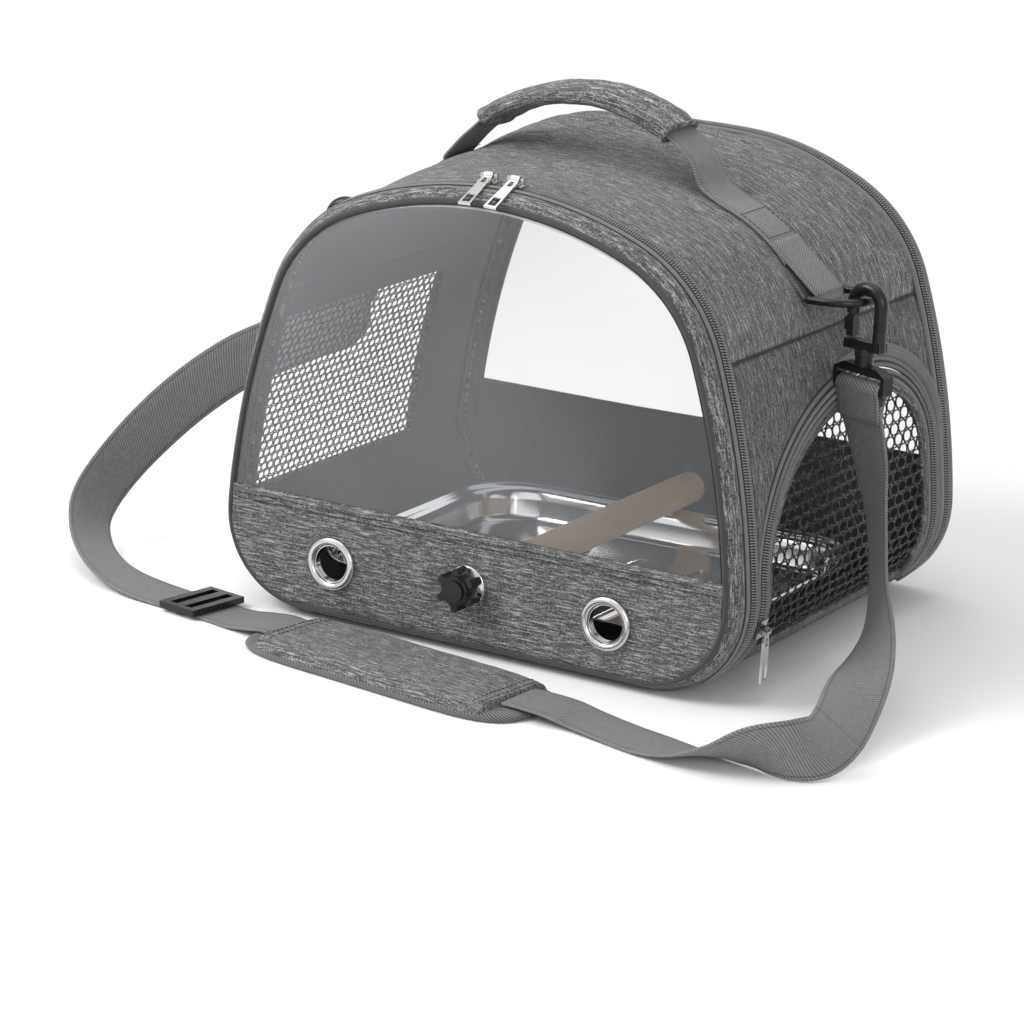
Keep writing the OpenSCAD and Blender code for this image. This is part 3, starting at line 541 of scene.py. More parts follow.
def ellipse_arc(centre, ry, rz, a0, a1, n):
    return [(centre[0] + ry * cos(radians(a)), centre[1] + rz * sin(radians(a)))
            for a in spread(a0, a1, n)]


def door_line(inset, n=60):
    """The side door's zip line in (y, z), drawn in by inset, rear to front."""
    rear = ellipse_arc((DOOR_TOP[0], DOOR_REAR_Z), LEG_REAR - DOOR_TOP[0] - inset,
                       DOOR_TOP[1] - DOOR_REAR_Z - inset, 0, 90, n)
    front = ellipse_arc((DOOR_TOP[0], DOOR_FRONT_Z), DOOR_TOP[0] - LEG_FRONT - inset,
                        DOOR_TOP[1] - DOOR_FRONT_Z - inset, 90, 180, n)
    up = [(LEG_REAR - inset, z) for z in spread(DOOR_BOTTOM, DOOR_REAR_Z, 24)[:-1]]
    down = [(LEG_FRONT + inset, z) for z in spread(DOOR_FRONT_Z, DOOR_BOTTOM, 18)[1:]]
    return up + rear + front[1:] + down


def right_wall_cloth():
    line = [(PANEL_REAR, DOOR_BOTTOM), (109.0, DOOR_BOTTOM),
            *door_line(-SIDE_ZIP_HALF, 34), (PANEL_FRONT, DOOR_BOTTOM)]
    rows = 34
    verts, cloth, faces = [], [], []
    for lift in (True, False):
        for y, z0 in line:
            t0 = arch_at(z0)
            for t in spread(t0, SEAM_T, rows):
                out = -WALL_T
                if lift:
                    near = min(t - t0, SEAM_T - t)
                    out = (1 - exp(-near / 2.2) - 1) * 0.8 + 0.6 * smooth_step(near, 0, 16)
                    out += rough_noise(t / 40, y / 24, 9.3) * 0.8 * smooth_step(near, 0, 14)
                verts.append(shell(t, y, out))
                cloth.append((t, y))
    n, m = len(line), rows + 1
    far = n * m
    for i in range(n - 1):
        for j in range(rows):
            a, b = i * m + j, i * m + j + 1
            faces += [(a, b, b + m, a + m), (a + m + far, b + m + far, b + far, a + far)]
    rim = ([i * m for i in range(n)] + [(n - 1) * m + j for j in range(1, m)]
           + [i * m + rows for i in range(n - 2, -1, -1)] + list(range(rows - 1, 0, -1)))
    for a, b in zip(rim, rim[1:] + rim[:1]):
        faces.append((a, b, b + far, a + far))
    inner = [k for k, f in enumerate(faces) if min(f) >= far]
    return line_inside(make("side_panel_right_cloth", verts, faces, CLOTH_PAINTED_SHADE, cloth), inner,
                       LINING)


o = right_wall_cloth()
dress(o, "shell", "heather", "side_panel_right")
o = skin("side_sill_cloth", spread(BASE_T, arch_at(DOOR_BOTTOM), 6),
         spread(PANEL_FRONT, PANEL_REAR, 60),
         lambda t, y: shell(t, y, 0.3), lambda t, y: shell(t, y, -WALL_T), CLOTH_PAINTED_SHADE,
         lining=LINING)
dress(o, "shell", "heather")


# ---------------------------------------------------------------------------
# Roof seams: the roof is sewn to both walls from inside, which leaves a narrow
# sunk line with dark thread in it along each side.
# ---------------------------------------------------------------------------
def moulded(name, colour, rough=0.32, grain=0.25):
    """Moulded plastic with a fine spark texture and edges rubbed by use."""
    f = Finish(name, Specular_IOR_Level=0.3)
    x, y, z = f.place()
    cloud = f.noise(x * 180, y * 180, z * 180, 3, 0.6)
    fine = f.noise(x * 2600, y * 2600, z * 2600, 2, 0.5)
    edge = f.node("ShaderNodeNewGeometry", out=7).step(0.52, 0.60)
    f.set(Base_Color=f.mix(cloud * 0.6 + edge * 0.35, tuple(c * 0.8 for c in colour),
                           tuple(c * 1.5 + 0.012 for c in colour)),
          Roughness=rough + cloud * 0.18)
    f.bump(fine, grain, 0.0002)
    return f.material


THREAD = moulded("thread", (0.020, 0.020, 0.021), 0.6, 0.1)


def frames_along(points, closed=False):
    """A (place, direction) for each point of a line."""
    n = len(points)
    result = []
    for i, p in enumerate(points):
        a = points[(i - 1) % n] if closed or i else p
        b = points[(i + 1) % n] if closed or i < n - 1 else p
        result.append((p, (b - a).normalized()))
    return result


def ring_faces(rings, sides, ends=True):
    """Faces between rings of points that follow each other, and over both ends."""
    faces = []
    for i in range(rings - 1):
        for k in range(sides):
            a, b = i * sides + k, i * sides + (k + 1) % sides
            faces.append((a, b, b + sides, a + sides))
    if ends:
        faces.append(tuple(range(sides))[::-1])
        faces.append(tuple((rings - 1) * sides + k for k in range(sides)))
    return faces


def tube(name, points, radius, material, sides=8, closed=False):
    """A round cord along points; radius may be a number or a function of distance."""
    verts, cloth = [], []
    line = frames_along(points, closed)
    normal = line[0][1].orthogonal().normalized()
    gone, last = 0.0, points[0]
    rings = line + ([line[0]] if closed else [])
    for p, along in rings:
        gone += (p - last).length
        last = p
        normal = (normal - along * normal.dot(along)).normalized()
        side = along.cross(normal)
        r = radius(gone) if callable(radius) else radius
        for k in range(sides):
            a = 2 * pi * k / sides
            verts.append(p + (normal * cos(a) + side * sin(a)) * r)
            cloth.append((gone, 2 * pi * r * k / sides))
    o = make(name, verts, ring_faces(len(rings), sides, not closed), material, cloth)
    if closed:
        weld(o)
    return o


def weld(o, distance=1e-5):
    bm = bmesh.new()
    bm.from_mesh(o.data)
    bmesh.ops.remove_doubles(bm, verts=bm.verts, dist=distance)
    bmesh.ops.recalc_face_normals(bm, faces=bm.faces)
    bm.to_mesh(o.data)
    bm.free()


for side, t in (("right", SEAM_T), ("left", LOOP - SEAM_T)):
    line = [shell(t, y, -0.25) for y in spread(PANEL_FRONT, PANEL_REAR, 60)]
    o = tube("roof_seam_" + side, line, 0.55, THREAD, 6)
    dress(o, "shell", "heather")


# ---------------------------------------------------------------------------
# Left window: coated polyester net with rounded holes, caught under a binding
# of dark cloth that is sewn down all round the opening.
# ---------------------------------------------------------------------------
PIPING = plain_cloth("piping_cloth", (0.038, 0.038, 0.038))


def wall(y, z, out):
    """A point on the right wall, out from its outer face."""
    (x, zz), _ = arch(arch_at(z), out)
    return Vector((x, y, zz))


CELL_Y, CELL_Z = 9.4, 6.6
STRAND = 1.1


def net(name, side, inside, y_range, z_range, depth, material, cell=(CELL_Y, CELL_Z),
        strand=STRAND):
    """Cells with rounded holes over the wall, kept where inside(y, z) is true."""
    verts, faces = [], []
    sign = 1 if side == "right" else -1

    def place(y, z, out):
        p = wall(y, z, out)
        return Vector((p.x * sign, p.y, p.z))

    rows = int((z_range[1] - z_range[0]) / cell[1]) + 1
    columns = int((y_range[1] - y_range[0]) / cell[0]) + 1
    for r in range(rows):
        for c in range(columns):
            cy = y_range[0] + (c + 0.5 + (0.5 if r % 2 else 0)) * cell[0]
            cz = z_range[0] + (r + 0.5) * cell[1]
            if not inside(cy, cz):
                continue
            border, hole = [], []
            for k in range(12):
                a = 2 * pi * (k + 0.5) / 12
                ca, sa = cos(a), sin(a)
                scale = min(cell[0] / 2 / max(abs(ca), 1e-6), cell[1] / 2 / max(abs(sa), 1e-6))
                border.append((ca * scale, sa * scale))
                hy, hz = (cell[0] - strand) / 2, (cell[1] - strand) / 2
                round_r = (abs(ca / hy) ** 2.9 + abs(sa / hz) ** 2.9) ** (-1 / 2.9)
                hole.append((ca * round_r, sa * round_r))
            base = len(verts)
            wave = 0.35 * sin(r * 2.1 + c * 1.3)
            for loop, out in ((border, depth), (hole, depth + 0.1), (hole, depth - 0.7),
                              (border, depth - 0.6)):
                for dy, dz in loop:
                    f = 1.0
                    while f > 0.02 and not inside(cy + dy * f, cz + dz * f):
                        f -= 0.08
                    verts.append(place(cy + dy * f, cz + dz * f, out + wave))
            for k in range(12):
                n = (k + 1) % 12
                for a, b in ((0, 12), (12, 24), (24, 36)):
                    faces.append((base + a + k, base + a + n, base + b + n, base + b + k))
    o = make(name, verts, faces, material)
    weld(o, 4e-5)
    return o


def net_finish():
    f = Finish("mesh_coating", Roughness=0.5, Specular_IOR_Level=0.3)
    x, y, z = f.place()
    cloud = f.noise(x * 500, y * 500, z * 500, 3, 0.6)
    twist = ((y + z) * (2 * pi / 0.0012)).sin()
    # The noise lightens the strands in patches: painted glints on the twisted yarn.
    f.set(Base_Color=f.mix(cloud.step(0.42, 0.66), (0.008, 0.008, 0.008), (0.105, 0.105, 0.108)))
    f.bump(twist * 0.5 + cloud, 0.4, 0.0003)
    return f.material


NET = net_finish()
o = net("window_mesh_left_net", "left",
        lambda y, z: MESH_Y[0] - 2 < y < MESH_Y[1] + 2 and MESH_Z[0] - 2 < z < MESH_Z[1] + 2,
        (MESH_Y[0] - 4, MESH_Y[1] + 8), (MESH_Z[0] - 4, MESH_Z[1] + 6), -1.6, NET, (6.1, 4.3), 0.85)
dress(o, "shell", "mesh", "window_mesh_left")

bind_t = (window_t[0] - 6, window_t[1] + 6)
bind_y = (MESH_Y[0] - 3.4, MESH_Y[1] + 6)


def binding_swell(t, y):
    gap = max(window_t[0] - t, t - window_t[1], MESH_Y[0] - y, y - MESH_Y[1])
    return 0.5 + 0.9 * sin(pi * min(1, max(0, (gap + 1) / 7)))


o = skin("mesh_binding_left_cloth",
         [bind_t[0], bind_t[0] + 2, bind_t[0] + 4] + spread(window_t[0] + 1, window_t[1] - 1, 30)
         + [bind_t[1] - 4, bind_t[1] - 2, bind_t[1]],
         [bind_y[0], MESH_Y[0] - 1.5] + spread(MESH_Y[0] + 1, MESH_Y[1] - 1, 30)
         + [MESH_Y[1] + 2, MESH_Y[1] + 4, bind_y[1]],
         lambda t, y: shell(t, y, binding_swell(t, y)), lambda t, y: shell(t, y, -0.1), PIPING,
         skip=lambda t, y: (window_t[0] + 1 < t < window_t[1] - 1
                            and MESH_Y[0] + 1 < y < MESH_Y[1] - 1))
dress(o, "shell", "webbing", "mesh_binding_left")


# ---------------------------------------------------------------------------
# Side door: the same net in larger cells, bound with melange cloth along its
# arch and hemmed at the bottom, where it folds down.
# ---------------------------------------------------------------------------
DOOR_PANEL_IN = ZIP_GAP + COIL_W + 2


def door_inside(inset):
    def test(y, z):
        if z < DOOR_BOTTOM + 1.2 or not LEG_FRONT + inset < y < LEG_REAR - inset:
            return False
        if y >= DOOR_TOP[0]:
            ry, cz = LEG_REAR - DOOR_TOP[0] - inset, DOOR_REAR_Z
        else:
            ry, cz = DOOR_TOP[0] - LEG_FRONT - inset, DOOR_FRONT_Z
        rz = DOOR_TOP[1] - cz - inset
        return z < cz or ((y - DOOR_TOP[0]) / ry) ** 2 + ((z - cz) / rz) ** 2 < 1
    return test


o = net("side_mesh_net", "right", door_inside(7.5), (LEG_FRONT, LEG_REAR + CELL_Y),
        (DOOR_BOTTOM, DOOR_TOP[1] + 3), -1.7, NET)
dress(o, "side_door", "mesh", "side_mesh")


def wall_band(name, inset_0, inset_1, out, thick, material, body, slot, nodes=(), steps=5,
              base_z=DOOR_BOTTOM + 0.6):
    """A strip that follows the side door's outline between two insets."""
    lines = [door_line(i) for i in spread(inset_0, inset_1, steps)]
    n = len(lines[0])
    gone = [0.0]
    for a, b in zip(lines[0], lines[0][1:]):
        gone.append(gone[-1] + hypot(a[0] - b[0], a[1] - b[1]))

    def outer(k, j):
        y, z = lines[int(j)][int(k)]
        return wall(y, max(z, base_z), out(j / steps))

    def inner(k, j):
        y, z = lines[int(j)][int(k)]
        return wall(y, max(z, base_z), out(j / steps) - thick)

    o = skin(name, list(range(n)), list(range(steps + 1)), outer, inner, material)
    layer = o.data.uv_layers["cloth"]
    for item in layer.data:
        k = min(n - 1, max(0, round(item.uv[0] / MM)))
        item.uv = (gone[k] * MM, item.uv[1] * abs(inset_1 - inset_0) / steps)
    return dress(o, body, slot, *nodes)


wall_band("side_mesh_binding_cloth", DOOR_PANEL_IN - 0.3, DOOR_PANEL_IN + 6,
          lambda f: -0.5 + 1.1 * sin(pi * f),
          2.2, CLOTH_PAINTED_SHADE, "side_door", "heather", ("side_mesh_binding",))
o = skin("side_door_hem", spread(arch_at(DOOR_BOTTOM + 0.6), arch_at(DOOR_BOTTOM + 6), 5),
         spread(LEG_FRONT + 5, LEG_REAR - 5, 60),
         lambda t, y: shell(t, y, -0.4 + 0.9 * sin(pi * (t - arch_at(DOOR_BOTTOM + 0.6)) / 5.6)),
         lambda t, y: shell(t, y, -2.2), CLOTH_PAINTED_SHADE)
dress(o, "side_door", "heather")


# ---------------------------------------------------------------------------
# Front and rear zips: woven tapes, each with a coil of nylon monofilament sewn
# to its edge. Half of each zip is on the body and half is on the door.
# ---------------------------------------------------------------------------
TAPE = plain_cloth("zip_tape", (0.150, 0.148, 0.143), pitch=0.0011)
# A near-black cloth laid under each zip and out past its tapes: painted shade in the gaps beside
# the coil and the tapes.
TAPE_SHADE = plain_cloth("zip_tape_shade", (0.012, 0.012, 0.012), pitch=0.0011)
COIL = moulded("zip_coil", (0.21, 0.206, 0.198), 0.40, 0.1)


def outward(t):
    nx, nz = arch(t)[1]
    return Vector((nx, 0, nz))


def repeat(name, spots, unit, material):
    """Copies of the mesh unit, each at (place, along, outward), in millimetres."""
    points = bpy.data.meshes.new(name)
    points.from_pydata([tuple(stuffed(s[0]) * MM) for s in spots], [], [])
    turn = points.attributes.new("turn", "FLOAT_VECTOR", "POINT")
    for k, (_, along, normal) in enumerate(spots):
        x = along.normalized()
        y = normal.cross(x).normalized()
        turn.data[k].vector = Matrix((x, y, x.cross(y))).transposed().to_euler()
    source = bpy.data.objects.new(name + "_unit", unit)
    bpy.context.scene.collection.objects.link(source)
    tree = bpy.data.node_groups.new(name, "GeometryNodeTree")
    face = tree.interface
    face.new_socket("Spots", in_out="INPUT", socket_type="NodeSocketGeometry")
    unit_in = face.new_socket("Unit", in_out="INPUT", socket_type="NodeSocketObject")
    finish_in = face.new_socket("Finish", in_out="INPUT", socket_type="NodeSocketMaterial")
    face.new_socket("Copies", in_out="OUTPUT", socket_type="NodeSocketGeometry")
    add, link = tree.nodes.new, tree.links.new
    start, end = add("NodeGroupInput"), add("NodeGroupOutput")
    info, euler = add("GeometryNodeObjectInfo"), add("FunctionNodeEulerToRotation")
    angle = add("GeometryNodeInputNamedAttribute")
    angle.data_type = "FLOAT_VECTOR"
    angle.inputs["Name"].default_value = "turn"
    copies, real = add("GeometryNodeInstanceOnPoints"), add("GeometryNodeRealizeInstances")
    finish = add("GeometryNodeSetMaterial")
    link(start.outputs["Spots"], copies.inputs["Points"])
    link(start.outputs["Unit"], info.inputs["Object"])
    link(info.outputs["Geometry"], copies.inputs["Instance"])
    link(angle.outputs["Attribute"], euler.inputs[0])
    link(euler.outputs[0], copies.inputs["Rotation"])
    link(copies.outputs[0], real.inputs[0])
    link(real.outputs[0], finish.inputs["Geometry"])
    link(start.outputs["Finish"], finish.inputs["Material"])
    link(finish.outputs[0], end.inputs[0])
    o = bpy.data.objects.new(name, points)
    bpy.context.scene.collection.objects.link(o)
    modifier = o.modifiers.new("copies", "NODES")
    modifier.node_group = tree
    modifier[unit_in.identifier] = source
    modifier[finish_in.identifier] = material
    baked = bpy.data.meshes.new_from_object(o.evaluated_get(bpy.context.evaluated_depsgraph_get()))
    o.modifiers.remove(modifier)
    o.data = baked
    bpy.data.objects.remove(source)
    baked.polygons.foreach_set("use_smooth", [True] * len(baked.polygons))
    return o


def walk(points, normals, pitch, start=0.0):
    """Evenly spaced (place, along, outward) spots on a line."""
    spots, gone, want = [], 0.0, start
    for i in range(len(points) - 1):
        a, b = points[i], points[i + 1]
        long = (b - a).length
        while long > 0 and want <= gone + long:
            f = (want - gone) / long
            spots.append((a.lerp(b, f), (b - a), normals[i].lerp(normals[i + 1], f)))
            want += pitch
        gone += long
    return spots


TOOTH_PITCH = 1.5
ZIP_OUT = 0.5
DOOR_LOW_Z = 10.5
ZIP_T = (arch_at(DOOR_LOW_Z), LOOP - arch_at(DOOR_LOW_Z))


def tooth(width):
    """One turn of the coil: a bent filament across the edge of the tape, along Y."""
    r = 0.38
    path = [(-0.1, -width / 2, 0.0), (-0.06, -width / 2 + 0.35, 0.55), (0.0, 0.0, 0.8),
            (0.06, width / 2 - 0.35, 0.6), (0.1, width / 2, 0.1)]
    verts, faces, sides = [], [], 5
    for x, y, z in path:
        for k in range(sides):
            a = 2 * pi * k / sides
            verts.append((x + r * cos(a), y, z + r * sin(a)))
    for i in range(len(path) - 1):
        for k in range(sides):
            a, b = i * sides + k, i * sides + (k + 1) % sides
            faces.append((a, a + sides, b + sides, b))
    faces.append(tuple(range(sides)))
    faces.append(tuple((len(path) - 1) * sides + k for k in range(sides))[::-1])
    data = bpy.data.meshes.new("tooth")
    data.from_pydata([tuple(c * MM for c in v) for v in verts], [], faces)
    return data


def ring_zip(name, zip_y, side, body, node, rib_to, rib):
    """Half a zip round the arch: side is 1 where the tape lies at higher Y."""
    us = spread(*ZIP_T, 240)
    # The bed under the coil and the tape is painted shade.
    y0, y1 = sorted((zip_y + side * 0.4, zip_y + side * 4.4))
    bed = skin(name + "_bed", us, spread(y0, y1, 2), lambda t, y: shell(t, y, ZIP_OUT - 0.3),
               lambda t, y: shell(t, y, ZIP_OUT - 1.1), TAPE_SHADE)
    dress(bed, body, "zip")
    start, end = zip_y + side * 3.9, zip_y + side * rib_to

    def rounded(t, y):
        return shell(t, y, ZIP_OUT - 0.3 + rib * sin(pi * (y - start) / (end - start)) ** 0.7)

    tape = skin(name + "_tape", us, spread(start, end, 8), rounded,
                lambda t, y: shell(t, y, ZIP_OUT - 1.1), TAPE)
    dress(tape, body, "zip", node)
    edge = tube(name + "_shadow", [shell(t, end + side * 0.15, ZIP_OUT - 0.35) for t in us], 0.38,
                THREAD, 6)
    dress(edge, body, "zip")
    centre = zip_y + side * (ZIP_GAP + COIL_W / 2)
    line = [shell(t, centre, ZIP_OUT + 0.1) for t in us]
    normals = [outward(t) for t in us]
    teeth = repeat(name + "_coil", walk(line, normals, TOOTH_PITCH, 0.4 if side > 0 else 1.15),
                   tooth(COIL_W), COIL)
    dress(teeth, body, "zip")


BAND_REACH = 8.0
ring_zip("front_body_zip", FRONT_ZIP_Y, 1, "shell", "front_body_zip", 5.7, 0.6)
ring_zip("front_door_zip", FRONT_ZIP_Y, -1, "front_door", "front_door_zip", BAND_REACH, 1.1)
ring_zip("rear_body_zip", REAR_ZIP_Y, -1, "shell", "rear_body_zip", 5.7, 0.6)
ring_zip("rear_door_zip", REAR_ZIP_Y, 1, "rear_door", "rear_door_zip", BAND_REACH, 1.1)


# ---------------------------------------------------------------------------
# Side zip: the same tape and coil round the side door, and over its rear corner
# a pleated hood of tape, gathered so that it stands off the cloth.
# ---------------------------------------------------------------------------
def side_zip(name, side, body, node):
    """Half of the side door's zip: side is 1 on the door, -1 on the wall."""
    # The zip's bed reaches out past the tape on both sides: painted shade in the gaps.
    wall_band(name + "_bed", side * 0.4, side * 8.0, lambda f: ZIP_OUT - 0.3, 0.8, TAPE_SHADE, body,
              "zip", (), 4)
    wall_band(name + "_tape", side * 4.0, side * 6.6,
              lambda f: ZIP_OUT - 0.3 + 0.9 * sin(pi * f) ** 0.7, 0.9, TAPE,
              body, "zip", (node,), 8)
    line = [(y, max(z, DOOR_BOTTOM + 0.6)) for y, z in door_line(side * (ZIP_GAP + COIL_W / 2))]
    points = [wall(y, z, ZIP_OUT) for y, z in line]
    normals = [outward(arch_at(z)) for _, z in line]
    teeth = repeat(name + "_coil", walk(points, normals, TOOTH_PITCH, 0.4 if side > 0 else 1.1),
                   tooth(COIL_W), COIL)
    dress(teeth, body, "zip")


side_zip("side_door_zip", 1, "side_door", "side_door_zip")
side_zip("side_body_zip", -1, "shell", "side_body_zip")


def zip_hood():
    """The gathered flap of tape that stands over the door's upper rear corner."""
    lines = [door_line(i) for i in spread(-6.4, -13.4, 16)]
    n = len(lines[0])

    def rise(k):
        y, z = lines[0][k]
        if y < DOOR_TOP[0]:
            return smooth_step(y, DOOR_TOP[0] - 44, DOOR_TOP[0] + 4)
        return 0.22 + 0.78 * smooth_step(z, 84, 132)

    last = max(k for k in range(n) if rise(k) > 0.02)

    def outer(k, j):
        y, z = lines[int(j)][int(k)]
        f = j / 16
        pleat = 1.1 * abs(sin(4 * pi * f)) + 0.15 * rough_noise(k / 7, f * 3, 8.1)
        return wall(y, max(z, DOOR_BOTTOM + 0.6),
                    0.1 + rise(int(k)) * (3.9 * sin(pi * f) ** 0.6 + pleat))

    def inner(k, j):
        y, z = lines[int(j)][int(k)]
        return wall(y, max(z, DOOR_BOTTOM + 0.6), -1.2)

    o = skin("side_zip_hood", list(range(last + 1)), list(range(17)), outer, inner, TAPE)
    for item in o.data.uv_layers["cloth"].data:
        item.uv = (item.uv[0] * 3.0, item.uv[1] * 0.45)
    dress(o, "shell", "zip")


zip_hood()


# ---------------------------------------------------------------------------
# Rear piping: a thick cord in a cover of tape, sewn in before the rear zip. Thin
# dark cords along the front and rear edges of the panels are painted shadow lines.
# ---------------------------------------------------------------------------
line = [shell(t, PANEL_REAR - 2.5, 0.2) for t in spread(arch_at(10), LOOP - arch_at(10), 220)]
o = tube("rear_body_piping_cord", line, 1.9, TAPE, 10)
dress(o, "shell", "piping", "rear_body_piping")
# These cords take the thread's colour, but they are painted shadow lines.
for name, y, out in (("front_panel_shadow", PANEL_FRONT - 0.2, 0.35),
                     ("rear_panel_shadow", PANEL_REAR - 5.2, 0.1)):
    line = [shell(t, y, out) for t in spread(arch_at(10), LOOP - arch_at(10), 220)]
    dress(tube(name, line, 0.35, THREAD, 6), "shell", "piping")


# ---------------------------------------------------------------------------
# Front and rear doors: a clear flexible sheet over a cloth strip, sewn inside
# a loop of piping, with a cloth band that runs back to the zip.
# ---------------------------------------------------------------------------
def half_width(z, inset=0.0):
    return arch(arch_at(z, inset), -inset)[0][0]


def top_at(x, inset):
    """Height of the drawn-in outline over x."""
    low, high = arch_at(70, inset), HALF_LOOP
    for _ in range(40):
        mid = (low + high) / 2
        low, high = (mid, high) if arch(mid, -inset)[0][0] > abs(x) else (low, mid)
    return arch((low + high) / 2, -inset)[0][1]


PIPE_R = 1.6
PANE_IN = 9.0


def clear_sheet():
    """Clear PVC: mostly see-through, with sharp reflections that ripple."""
    f = Finish("clear_sheet", Roughness=0.06, Specular_IOR_Level=0.6, Coat_Weight=0.4)
    f.set(Base_Color=(0.86, 0.88, 0.9, 1))
    x, y, z = f.place()
    ripple = f.noise(x * 9, y * 9, z * 13, 1, 0.4, 0.6)
    bump = f.node("ShaderNodeBump", Height=ripple, Strength=0.25, Distance=0.004)
    f.set(Normal=bump)
    facing = f.node("ShaderNodeFresnel", IOR=1.5, Normal=bump)
    haze = f.noise(x * 5 + 3, y * 5, z * 4, 2, 0.5).step(0.45, 0.75)
    clear = f.tree.nodes.new("ShaderNodeBsdfTransparent")
    mix = f.tree.nodes.new("ShaderNodeMixShader")
    # Towards the top, and most at the upper left, more of the white shader is mixed in: a painted
    # reflection.
    painted_reflection = (z - x * 0.6 - haze * 0.03).step(0.17, 0.33)
    put(mix.inputs[0], facing * 0.85 + haze * 0.05 + painted_reflection * 0.10 + 0.012)
    f.tree.links.new(clear.outputs[0], mix.inputs[1])
    f.tree.links.new(f.shader.outputs[0], mix.inputs[2])
    f.tree.links.new(mix.outputs[0], f.tree.nodes["Material Output"].inputs[0])
    return f.material


CLEAR = clear_sheet()


def face_part(name, face_y, sign, z0, inset, depth, thick, material, wave, low=False):
    """A pane or strip in a door's face: sign is -1 at the front, 1 at the rear."""
    rows = 16 if low else 40
    columns = [sin(a) for a in spread(-pi / 2, pi / 2, 90)]

    def ends(f):
        x = f * (half_width(z0, inset) - 0.01)
        return (x, min_z(x, inset), z0) if low else (x, z0, max(z0, top_at(x, inset)))

    def surface(f, g, shift):
        x, a, b = ends(f)
        z = a + (b - a) * g
        y = face_y - sign * depth + sign * wave(x, z) - sign * shift
        return Vector((x, y, z))

    o = skin(name, columns, spread(0, 1, rows), lambda f, g: surface(f, g, 0.0),
             lambda f, g: surface(f, g, thick), material, lining=LINING if low else None)
    layer = o.data.uv_layers["cloth"]
    for loop in o.data.loops:
        p = o.data.vertices[loop.vertex_index].co
        layer.data[loop.index].uv = (p.x, p.z)
    return o


def min_z(x, inset):
    """Height of the drawn-in outline under x, in the lower corners."""
    x = abs(x)
    if x <= FLOOR_HALF:
        return inset
    low, high = FLOOR_HALF, arch_at(69, inset)
    for _ in range(40):
        mid = (low + high) / 2
        low, high = (mid, high) if arch(mid, -inset)[0][0] < x else (low, mid)
    return arch((low + high) / 2, -inset)[0][1]


def face_loop(inset, y, n=260):
    return [Vector((arch(t, -inset)[0][0], y, arch(t, -inset)[0][1]))
            for t in spread(0, LOOP, n)[:-1]]


GROMMET_X, GROMMET_Z, PERCH_Z = 86.0, 35.0, 39.0


def flat_spots(x, z):
    """0 where an eyelet or the perch's washer clamps the cloth flat, 1 away from them."""
    near = min(hypot(abs(x) - GROMMET_X, z - GROMMET_Z) - 4, hypot(x, z - PERCH_Z))
    return smooth_step(near, 12, 24)


def drill(o, centre, radius):
    """A round hole through the piece, along Y."""
    bm = bmesh.new()
    turn = Matrix.Translation(centre * MM) @ Matrix.Rotation(pi / 2, 4, "X")
    bmesh.ops.create_cone(bm, cap_ends=True, segments=48, radius1=radius * MM, radius2=radius * MM,
                          depth=0.02, matrix=turn)
    data = bpy.data.meshes.new("drill")
    bm.to_mesh(data)
    bm.free()
    bit = bpy.data.objects.new("drill", data)
    bpy.context.scene.collection.objects.link(bit)
    cutter = o.modifiers.new("hole", "BOOLEAN")
    cutter.operation, cutter.object, cutter.solver = "DIFFERENCE", bit, "EXACT"
    o.data = bpy.data.meshes.new_from_object(o.evaluated_get(bpy.context.evaluated_depsgraph_get()))
    o.modifiers.remove(cutter)
    bpy.data.objects.remove(bit)


def door_face(name, face_y, sign, strip_z, body, zip_y):
    """Everything that is cloth or clear sheet in one of the two big doors."""

    def pane_wave(x, z):
        return (0.5 * rough_noise(x / 60, z / 45, 3.0 + sign)
                * smooth_step(z, strip_z, strip_z + 20))

    def strip_wave(x, z):
        return 0.1 + (0.5 * rough_noise(x / 30, z / 20, 7.0) * flat_spots(x, z)
                      * smooth_step(strip_z - z, 0, 9))

    pane = face_part(name + "_window_sheet", face_y, sign, strip_z - 3, PANE_IN - 1.5, 1.4, 0.5,
                     CLEAR, pane_wave)
    dress(pane, body, "clear_pvc", name + "_window")
    strip = face_part(name + "_strip_cloth", face_y, sign, strip_z, PANE_IN - 1.5, 0.8, 2.0,
                      CLOTH, strip_wave, low=True)
    if name == "front":
        for x in (-GROMMET_X, GROMMET_X):
            drill(strip, Vector((x, face_y, GROMMET_Z)), 10.4)
    dress(strip, body, "heather", name + "_strip")
    loop = tube(name + "_piping_cord",
                face_loop(FACE_INSET + PIPE_R, face_y - sign * (PIPE_R + 0.1)),
                PIPE_R, PIPING, 12, closed=True)
    dress(loop, body, "piping", name + "_piping")
    inner = tube(name + "_piping_shadow", face_loop(PANE_IN - 0.45, face_y - sign * 1.2), 0.4,
                 THREAD, 6, closed=True)
    dress(inner, body, "piping")
    y_in, y_zip = face_y - sign * BAND_START, zip_y + sign * (BAND_REACH - 0.5)
    us, vs = spread(*ZIP_T, 240), spread(0, 1, 8)

    def cover(t, s, out):
        """Rolls from the piping over to the zip, fuller in the middle."""
        y = y_in + (y_zip - y_in) * s
        inset = (FACE_INSET + 0.4) * (1 - s) ** 1.6
        full = 0.9 * sin(pi * s) ** 0.7 * (1 + 0.35 * rough_noise(t / 26, s * 2, 2.2)) - 0.4 * s
        return shell(t, y, full - inset - out)

    band = skin(name + "_band_cloth", us, vs, lambda t, s: cover(t, s, 0.0),
                lambda t, s: cover(t, s, 2.2), CLOTH, lining=LINING)
    for item in band.data.uv_layers["cloth"].data:
        item.uv = (item.uv[0], item.uv[1] * abs(y_zip - y_in))
    dress(band, body, "heather", name + "_band")


door_face("front", FRONT_Y, -1, 69.0, "front_door", FRONT_ZIP_Y)
door_face("rear", REAR_Y, 1, 79.0, "rear_door", REAR_ZIP_Y)


